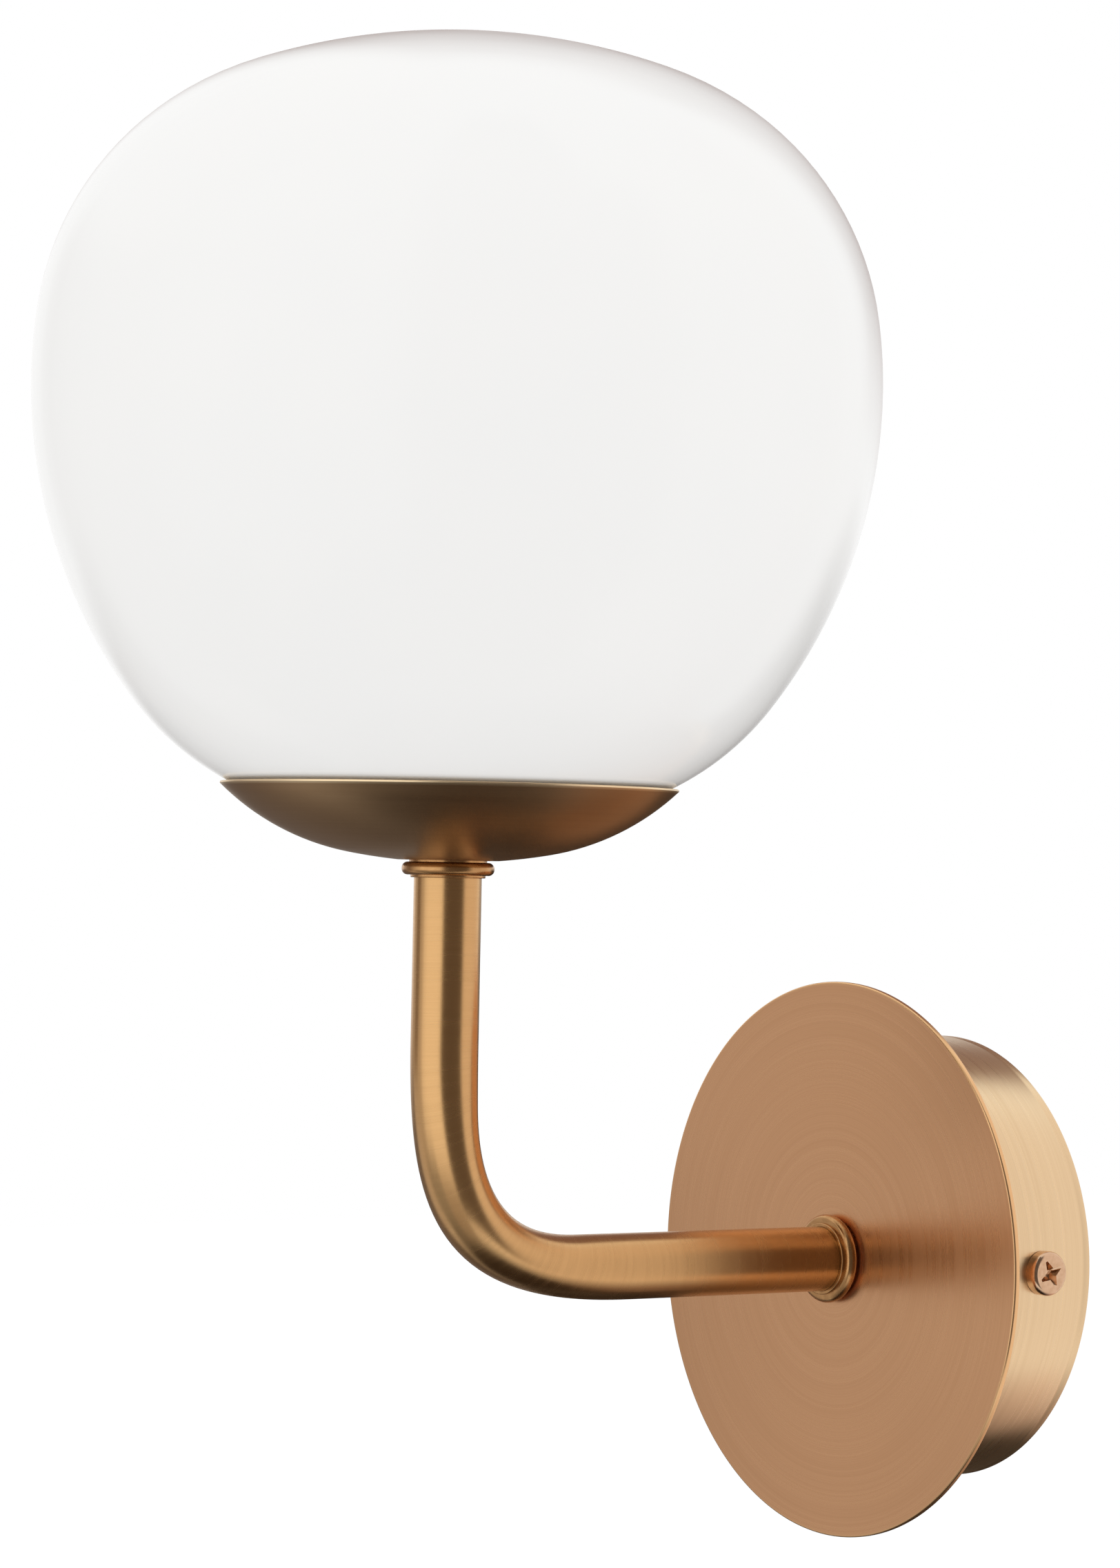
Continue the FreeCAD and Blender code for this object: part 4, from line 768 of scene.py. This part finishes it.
COLLAR_BORE = 0.00605
COLLAR_NECK, COLLAR_NECK_HEIGHT = 0.0069, 0.00035
COLLAR_BEAD, COLLAR_BEAD_HEIGHT, COLLAR_BEAD_ROUND = 0.0082, 0.0023, 0.00105
COLLAR_LIP, COLLAR_LIP_HEIGHT, COLLAR_LIP_ROUND = 0.00665, 0.00045, 0.00018
COLLAR_BRASS, COLLAR_BROWN = (0.58, 0.32, 0.135), (0.51, 0.275, 0.115)


def collar_outline(seat, away):
    """A collar's outline, from the face that it sits on, in a direction of 1 or -1 along its axis."""
    bead_top = COLLAR_NECK_HEIGHT + COLLAR_BEAD_HEIGHT
    lip_top = bead_top + COLLAR_LIP_HEIGHT
    corners = rounded([
        (COLLAR_BORE, 0), (COLLAR_NECK, 0), (COLLAR_NECK, COLLAR_NECK_HEIGHT),
        (COLLAR_BEAD, COLLAR_NECK_HEIGHT), (COLLAR_BEAD, bead_top), (COLLAR_LIP, bead_top),
        (COLLAR_LIP, lip_top), (COLLAR_BORE, lip_top),
    ], {3: COLLAR_BEAD_ROUND, 4: COLLAR_BEAD_ROUND, 6: COLLAR_LIP_ROUND})
    return [(radius, seat + away * height) for radius, height in corners]


collar_metal = cloudy("polished_collar_brass", COLLAR_BRASS, COLLAR_BROWN, 0.25, 1.0, size=0.0015)
wall_collar = collar_outline(-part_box("wall_collar")[1].y, 1)
cup_collar = collar_outline(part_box("cup_collar")[1].z, -1)
fit(turned("wall_bead", wall_collar, WALL_AXIS), "fixture", "arm_brass", collar_metal, "wall_collar")
fit(turned("cup_bead", cup_collar, GLOBE_AXIS), "fixture", "arm_brass", collar_metal, "cup_collar")

# Cup: thin sheet brass, spun over a former, brushed round and lacquered, a highlight painted on its rim.
# The nut under the lampholder clamps it on the arm's upper collar.

CUP_WALL, CUP_SIDES = 0.0008, 192
CUP_RIM, CUP_RIM_SLOPE, CUP_RIM_ROUND = 0.0405, 0.00045, 0.00015
CUP_SEAT = 0.00894
CUP_FLOOR_CURVE, CUP_FLOOR_END = 0.100, 10.33
CUP_SIDE_CURVE, CUP_SIDE_END = 0.0436, 44.19
CUP_BRASS, CUP_BROWN = (0.50, 0.32, 0.172), (0.475, 0.30, 0.16)
RIM_HIGHLIGHT, RIM_START, RIM_FULL = (0.92, 0.72, 0.46), 0.0009, 0.0005

cup_low, cup_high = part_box("cup_dish")


def run_on(start, heading, arcs, steps=16):
    """Points along arcs that run on from each other. A heading of 0 is outwards and 90 is down."""
    points = [start]
    for radius, end in arcs:
        first = radians(heading)
        across, height = points[-1]
        for step in range(1, steps + 1):
            angle = radians(heading + (end - heading) * step / steps)
            points.append((
                across + radius * (sin(angle) - sin(first)), height + radius * (cos(angle) - cos(first))))
        heading = end
    return points


def cup_skin(inwards):
    """Points up one side of the cup's sheet, from its seat to its rim, a little inwards of its outside."""
    arcs = ((CUP_FLOOR_CURVE - inwards, CUP_FLOOR_END), (CUP_SIDE_CURVE - inwards, CUP_SIDE_END))
    points = run_on((CUP_SEAT, -cup_low.z - inwards), degrees(asin(CUP_SEAT / CUP_FLOOR_CURVE)), arcs)
    return [(across, -height) for across, height in points]


def from_upright_axis(tree):
    """How far a place on a piece lies from the globe's axis."""
    apart = add(tree, "VectorMath", {0: place_on(tree), 1: (0, AXIS_Y, 0)}, operation="SUBTRACT")
    level = add(tree, "VectorMath", {0: apart.outputs[0], 1: (1, 1, 0)}, operation="MULTIPLY")
    return add(tree, "VectorMath", {0: level.outputs[0]}, operation="LENGTH").outputs["Value"]


def height_of(tree):
    """How high a place on a piece lies."""
    return add(tree, "SeparateXYZ", {0: place_on(tree)}).outputs["Z"]


cup_outside = cup_skin(0)
cup_inside = [point for point in cup_skin(CUP_WALL)[::-1] if point[0] < CUP_RIM - CUP_WALL]
cup_outline = [(NIPPLE_HOLE, cup_low.z)] + cup_outside[:-1] + [
    (CUP_RIM, cup_outside[-1][1]), (CUP_RIM, cup_high.z), (CUP_RIM - CUP_WALL, cup_high.z - CUP_RIM_SLOPE),
] + cup_inside + [(NIPPLE_HOLE, cup_low.z + CUP_WALL)]
rim_corner = len(cup_outside) + 1
cup_outline = rounded(cup_outline, {rim_corner: CUP_RIM_ROUND}, steps=3)

# The cup's brass is darker than the arm's: partly its own tone, partly painted shade for the dark room round
# it.
cup_metal = brushed(
    "dark_cup_brass_and_shade", CUP_BRASS, CUP_BROWN, 0.35, from_upright_axis, line=0.00018, depth=0.000002,
    drift=0.03, tangent={"direction_type": "RADIAL", "axis": "Z"}, streak=0.4)
painted_highlight(cup_metal, height_of, cup_high.z - RIM_START, cup_high.z - RIM_FULL, RIM_HIGHLIGHT)
fit(turned("spun_cup", cup_outline, GLOBE_AXIS, sides=CUP_SIDES), "fixture", "cup_brass", cup_metal,
    "cup_dish")

# Boss and ring: two turned aluminium rings. The boss is clamped in the cup, and the ring screws
# onto its thread and carries the glass on a clear soft seal.

BOSS_HUB, BOSS_HUB_HEIGHT = 0.0086, 0.0047
BOSS_SHOULDER, BOSS_SHOULDER_HEIGHT, BOSS_SHOULDER_ROUND = 0.026, 0.0015, 0.0003
BOSS_RADIUS, BOSS_WALL, BOSS_FLOOR, BOSS_CHAMFER = 0.024, 0.0018, 0.0018, 0.0005
BOSS_PITCH, BOSS_THREAD, BOSS_SIDES = 0.002, 0.0006, 160
RING_BORE, RING_OUTSIDE, RING_CHAMFER, RING_ROUND = 0.02405, 0.0266, 0.0004, 0.0003
FLANGE, FLANGE_HEIGHT, FLANGE_ROUND = 0.0295, 0.001, 0.0002
ALUMINIUM, DULL_ALUMINIUM = (0.72, 0.72, 0.73), (0.62, 0.62, 0.63)
SILICONE, SILICONE_SHADE = (0.86, 0.87, 0.85), (0.80, 0.81, 0.79)
SILICONE_CLEAR, SILICONE_IOR = 0.5, 1.41

boss_low, boss_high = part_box("globe_boss")
hub_top = boss_low.z + BOSS_HUB_HEIGHT
shoulder_top = hub_top + BOSS_SHOULDER_HEIGHT
boss_outline = rounded([
    (NIPPLE_HOLE, boss_low.z), (BOSS_HUB, boss_low.z), (BOSS_HUB, hub_top), (BOSS_SHOULDER, hub_top),
    (BOSS_SHOULDER, shoulder_top), (BOSS_RADIUS - BOSS_THREAD, shoulder_top),
], {3: BOSS_SHOULDER_ROUND, 4: BOSS_SHOULDER_ROUND})
boss_outline += threaded(
    BOSS_RADIUS, shoulder_top + BOSS_SHOULDER_ROUND, boss_high.z - BOSS_CHAMFER, BOSS_PITCH, BOSS_THREAD)
boss_outline += [
    (BOSS_RADIUS - BOSS_CHAMFER, boss_high.z), (BOSS_RADIUS - BOSS_WALL, boss_high.z),
    (BOSS_RADIUS - BOSS_WALL, hub_top + BOSS_FLOOR), (NIPPLE_HOLE, hub_top + BOSS_FLOOR)]
ring_low, ring_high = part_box("globe_gallery")
flange_top = ring_low.z + FLANGE_HEIGHT
ring_outline = rounded([
    (RING_BORE, ring_low.z), (FLANGE, ring_low.z), (FLANGE, flange_top), (RING_OUTSIDE, flange_top),
    (RING_OUTSIDE, ring_high.z), (RING_BORE + RING_CHAMFER, ring_high.z),
], {1: FLANGE_ROUND, 2: FLANGE_ROUND, 4: RING_ROUND})
ring_outline += threaded(
    RING_BORE, ring_high.z - RING_CHAMFER, ring_low.z + RING_ROUND, BOSS_PITCH, -BOSS_THREAD)
turned_aluminium = brushed(
    "turned_aluminium", ALUMINIUM, DULL_ALUMINIUM, 0.3, from_upright_axis, line=0.0003)
fit(turned("threaded_boss", boss_outline, GLOBE_AXIS, sides=BOSS_SIDES), "fixture", "cast_ring",
    turned_aluminium, "globe_boss")
fit(turned("threaded_gallery", ring_outline, GLOBE_AXIS, sides=BOSS_SIDES), "globe", "cast_ring",
    turned_aluminium, "globe_gallery")
clear_seal = cloudy("clear_silicone", SILICONE, SILICONE_SHADE, 0.3, size=0.003)
shader_inputs(clear_seal)["Transmission Weight"].default_value = SILICONE_CLEAR
shader_inputs(clear_seal)["IOR"].default_value = SILICONE_IOR
dress("globe_seal", clear_seal)

# Lampholder: a moulded black base screwed on the nipple and a ribbed sleeve on it, with the rolled
# shell for the lamp's cap, two terminals and a spring contact riveted in the sleeve's floor.

HOLDER_RADIUS, HOLDER_CAVITY, HOLDER_FLOOR = 0.0134, 0.0112, 0.009
HOLDER_THREAD, HOLDER_NIPPLE_BORE = 0.0075, 0.00505
HOLDER_EDGE, JOINT_EDGE = 0.0009, 0.0003
SLEEVE_BORE, SLEEVE_FLOOR, SLEEVE_SIDES = 0.00745, 0.002, 288
RIBS, RIB_DEPTH, RIBS_START, RIBBED_HEIGHT, RIB_RUN_OUT = 36, 0.0004, 0.001, 0.0105, 0.1
SLEEVE_PITCH, SLEEVE_THREAD, SLEEVE_THREAD_HEIGHT = 0.0023, 0.0006, 0.0115
SLEEVE_STEP, SLEEVE_TOP_STEP = 0.0003, 0.0008
RIVET_PLACES, RIVET_HOLE = (-0.0034, 0.0072), 0.00095
SHELL_BORE, SHELL_WALL, SHELL_SIDES = 0.0070, 0.0004, 96
CAP_PITCH, SHELL_THREAD, PLAIN_END = 0.00282, 0.0003, 0.001
TERMINAL_EDGE = 0.0002
BLACK_PLASTIC, BLACK_SHADE = (0.022, 0.022, 0.024), (0.030, 0.029, 0.029)
NICKEL, DULL_NICKEL = (0.72, 0.69, 0.63), (0.62, 0.59, 0.53)

black_plastic = cloudy("moulded_black", BLACK_PLASTIC, BLACK_SHADE, 0.36, size=0.006, grain=0.00001)
nickel = cloudy("nickel_plate", NICKEL, DULL_NICKEL, 0.2, 1.0, size=0.002)
base_low, base_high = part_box("holder_base")
cavity_floor = base_low.z + HOLDER_FLOOR
base_outline = rounded([
    (HOLDER_NIPPLE_BORE, base_low.z), (HOLDER_RADIUS, base_low.z), (HOLDER_RADIUS, base_high.z),
    (HOLDER_CAVITY, base_high.z), (HOLDER_CAVITY, cavity_floor), (NIPPLE_BORE, cavity_floor),
    (NIPPLE_BORE, base_low.z + HOLDER_THREAD), (HOLDER_NIPPLE_BORE, base_low.z + HOLDER_THREAD),
], {1: HOLDER_EDGE, 2: JOINT_EDGE})
fit(turned("holder_cap", base_outline, GLOBE_AXIS), "fixture", "black_plastic", black_plastic, "holder_base")


def ribbed(radius, first, last):
    """Outline points of upright grip ribs between two places, run out at both ends."""
    def point(along, depth):
        return radius, along, lambda angle: wave(depth, RIBS * angle)

    run_out = RIB_RUN_OUT * (last - first)
    return [
        point(first, 0), point(first + run_out, RIB_DEPTH), point(last - run_out, RIB_DEPTH), point(last, 0)]


sleeve_low, sleeve_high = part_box("holder_sleeve")
sleeve_floor = sleeve_low.z + SLEEVE_FLOOR
ribs_low = sleeve_low.z + RIBS_START
ribs_high = ribs_low + RIBBED_HEIGHT
sleeve_outline = [(0, sleeve_low.z), (HOLDER_RADIUS - JOINT_EDGE, sleeve_low.z),
                  (HOLDER_RADIUS, sleeve_low.z + JOINT_EDGE)]
sleeve_outline += ribbed(HOLDER_RADIUS, ribs_low, ribs_high)
sleeve_outline += threaded(HOLDER_RADIUS - SLEEVE_STEP, ribs_high + SLEEVE_STEP,
                           ribs_high + SLEEVE_THREAD_HEIGHT, SLEEVE_PITCH, SLEEVE_THREAD)
sleeve_outline += [(HOLDER_RADIUS - SLEEVE_TOP_STEP, sleeve_high.z), (SLEEVE_BORE, sleeve_high.z),
                   (SLEEVE_BORE, sleeve_floor), (0, sleeve_floor)]
sleeve = turned("ribbed_sleeve", sleeve_outline, GLOBE_AXIS, sides=SLEEVE_SIDES, closed=False)
rivet_places = [GLOBE_AXIS[0] @ Matrix.Translation((x, 0, 0)) for x in RIVET_PLACES]
cut_away(sleeve, circle(RIVET_HOLE), sleeve_floor + SLEEVE_FLOOR, 3 * SLEEVE_FLOOR, 1.0, rivet_places)
fit(sleeve, "fixture", "black_plastic", black_plastic, "holder_sleeve")

shell_low, shell_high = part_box("holder_shell")
shell_outside = SHELL_BORE + SHELL_WALL
thread_low, thread_high = shell_low.z + PLAIN_END, shell_high.z - PLAIN_END
shell_outline = [(SHELL_BORE, shell_low.z), (shell_outside, shell_low.z)]
shell_outline += threaded(shell_outside, thread_low, thread_high, CAP_PITCH, SHELL_THREAD)
shell_outline += [(shell_outside, shell_high.z), (SHELL_BORE, shell_high.z)]
shell_outline += threaded(SHELL_BORE, thread_high, thread_low, CAP_PITCH, SHELL_THREAD)
fit(turned("rolled_shell", shell_outline, GLOBE_AXIS, sides=SHELL_SIDES), "fixture", "nickel_shell", nickel,
    "holder_shell")
dress("holder_terminals", raw_brass, TERMINAL_EDGE)
dress("holder_rivets", raw_brass)
dress("holder_contact", raw_brass)

# Wires: copper cores in coloured insulation. The brown and the blue one run from the lampholder
# through nipple and arm to the block, and the green and yellow one joins block and bracket.

BROWN, BROWN_SHADE = (0.13, 0.05, 0.02), (0.11, 0.042, 0.017)
BLUE, BLUE_SHADE = (0.02, 0.10, 0.38), (0.017, 0.085, 0.33)
EARTH_GREEN, EARTH_YELLOW = (0.05, 0.26, 0.06), (0.72, 0.60, 0.04)
INSULATION_ROUGHNESS = 0.42
STRIPE_START, STRIPE_FULL = 0.62, 0.66

brown = cloudy("brown_insulation", BROWN, BROWN_SHADE, INSULATION_ROUGHNESS)
blue = cloudy("blue_insulation", BLUE, BLUE_SHADE, INSULATION_ROUGHNESS)
green_yellow = new_material("earth_insulation", EARTH_GREEN, INSULATION_ROUGHNESS)
tree = green_yellow.node_tree
facing = add(tree, "SeparateXYZ", {0: add(tree, "TexCoord").outputs["Normal"]}).outputs["X"]
stripe = add(tree, "MapRange", {
    "Value": reckon(tree, "ABSOLUTE", facing), "From Min": STRIPE_START, "From Max": STRIPE_FULL})
tree.links.new(blended(tree, stripe.outputs["Result"], EARTH_GREEN, EARTH_YELLOW),
               shader_inputs(green_yellow)["Base Color"])
for name, material in (("live_wire", brown), ("neutral_wire", blue), ("earth_wire", green_yellow)):
    dress(name, material)

# Lamp: a small globe lamp with a screw cap. A white moulded housing holds a light board under an
# opal plastic bulb, and the rolled nickel cap is crimped on its neck, with the contact below.

CAP_WALL, CAP_THREAD, CAP_CRIMP = 0.0003, 0.0006, 0.002
CAP_RADIUS, CAP_START = 0.00695, 0.00655
HOUSING_NECK, HOUSING_NECK_HEIGHT = 0.0086, 0.002
HOUSING_MOUTH, HOUSING_WALL, HOUSING_FLOOR = 0.0175, 0.0012, 0.0015
HOUSING_ROUNDS = {1: 0.0005, 2: 0.002, 3: 0.0004}
BULB_RADIUS, BULB_WALL, BULB_STEPS = 0.0225, 0.0012, 48
LAMP_OPAL, LAMP_SHADE = (0.88, 0.88, 0.86), (0.86, 0.86, 0.83)
BOARD_WHITE, BOARD_SHADE = (0.78, 0.79, 0.78), (0.74, 0.75, 0.74)

cap_low, cap_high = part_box("lamp_cap")
cap_inside = CAP_RADIUS - CAP_WALL
thread_low, thread_high = cap_low.z + PLAIN_END, cap_high.z - CAP_CRIMP
cap_outline = [(CAP_START - CAP_WALL, cap_low.z), (CAP_START, cap_low.z)]
cap_outline += threaded(CAP_RADIUS, thread_low, thread_high, CAP_PITCH, CAP_THREAD)
cap_outline += [(CAP_RADIUS, cap_high.z), (cap_inside, cap_high.z)]
cap_outline += threaded(cap_inside, thread_high, thread_low, CAP_PITCH, CAP_THREAD)
fit(turned("rolled_cap", cap_outline, GLOBE_AXIS, sides=SHELL_SIDES), "lamp", "nickel_shell", nickel,
    "lamp_cap")

housing_low, housing_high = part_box("lamp_housing")
neck_top, neck_inside = housing_low.z + HOUSING_NECK_HEIGHT, HOUSING_NECK - HOUSING_WALL
housing_outline = rounded([
    (0, housing_low.z), (HOUSING_NECK, housing_low.z), (HOUSING_NECK, neck_top),
    (HOUSING_MOUTH, housing_high.z), (HOUSING_MOUTH - HOUSING_WALL, housing_high.z),
    (neck_inside, neck_top + HOUSING_FLOOR), (neck_inside, housing_low.z + HOUSING_FLOOR),
    (0, housing_low.z + HOUSING_FLOOR),
], HOUSING_ROUNDS)
fit(turned("lamp_cone", housing_outline, GLOBE_AXIS, closed=False), "lamp", "white_plastic", white_plastic,
    "lamp_housing")

bulb_low, bulb_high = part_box("lamp_bulb")
bulb_centre = bulb_high.z - BULB_RADIUS
bulb_skins = []
for radius in (BULB_RADIUS, BULB_RADIUS - BULB_WALL):
    mouth = degrees(acos((bulb_low.z - bulb_centre) / radius))
    bulb_skins.append(run_on((0, bulb_centre + radius), 0, ((radius, mouth),), steps=BULB_STEPS))
lamp_opal = cloudy("opal_plastic", LAMP_OPAL, LAMP_SHADE, 0.34, size=0.02, grain=0.000004)
fit(turned("opal_bulb", bulb_skins[0] + bulb_skins[1][::-1], GLOBE_AXIS, closed=False), "lamp", "lamp_opal",
    lamp_opal, "lamp_bulb")
board_white = cloudy("board_lacquer", BOARD_WHITE, BOARD_SHADE, 0.4)
dress("led_board", board_white)
dress("lamp_insulator", black_plastic)
dress("lamp_tip", raw_brass)

# Glass globe: opal glass, blown in a mould, then cut and ground at the hole. It stands on the ring
# and its seal, inside the cup. Its outline is five arcs that run on from each other: the crown, the
# shoulder, the belly, the flank and the foot, each with its curve and the heading where it ends.

GLASS_ARCS = ((0.116, 20.29), (0.0527, 82.10), (0.0896, 90.0), (0.09271, 127.02), (0.04969, 167.96))
GLASS_WALL, GLASS_HOLE, GROUND_EDGE = 0.003, 0.027, 0.0009
GLASS_STEPS, GLASS_SIDES = 20, 192
OPAL, OPAL_SHADE = (0.925, 0.922, 0.912), (0.932, 0.927, 0.915)
OPAL_GLOSS = 0.12

glass_outline = []
for inwards in (0, GLASS_WALL):
    arcs = [(curve - inwards, end) for curve, end in GLASS_ARCS]
    skin = run_on((0, glass_high.z - inwards), 0, arcs, steps=GLASS_STEPS)
    skin[-1] = (GLASS_HOLE, skin[-1][1])
    glass_outline += skin[::-1] if inwards else skin
lip = len(glass_outline) // 2
glass_outline = rounded(glass_outline, {lip - 1: GROUND_EDGE, lip: GROUND_EDGE})

opal_glass = cloudy("opal_glass", OPAL, OPAL_SHADE, 0.16, size=0.03)
shader_inputs(opal_glass)["Specular IOR Level"].default_value = OPAL_GLOSS
fit(turned("opal_globe", glass_outline, GLOBE_AXIS, sides=GLASS_SIDES, closed=False), "globe", "opal_glass",
    opal_glass, "glass_globe")
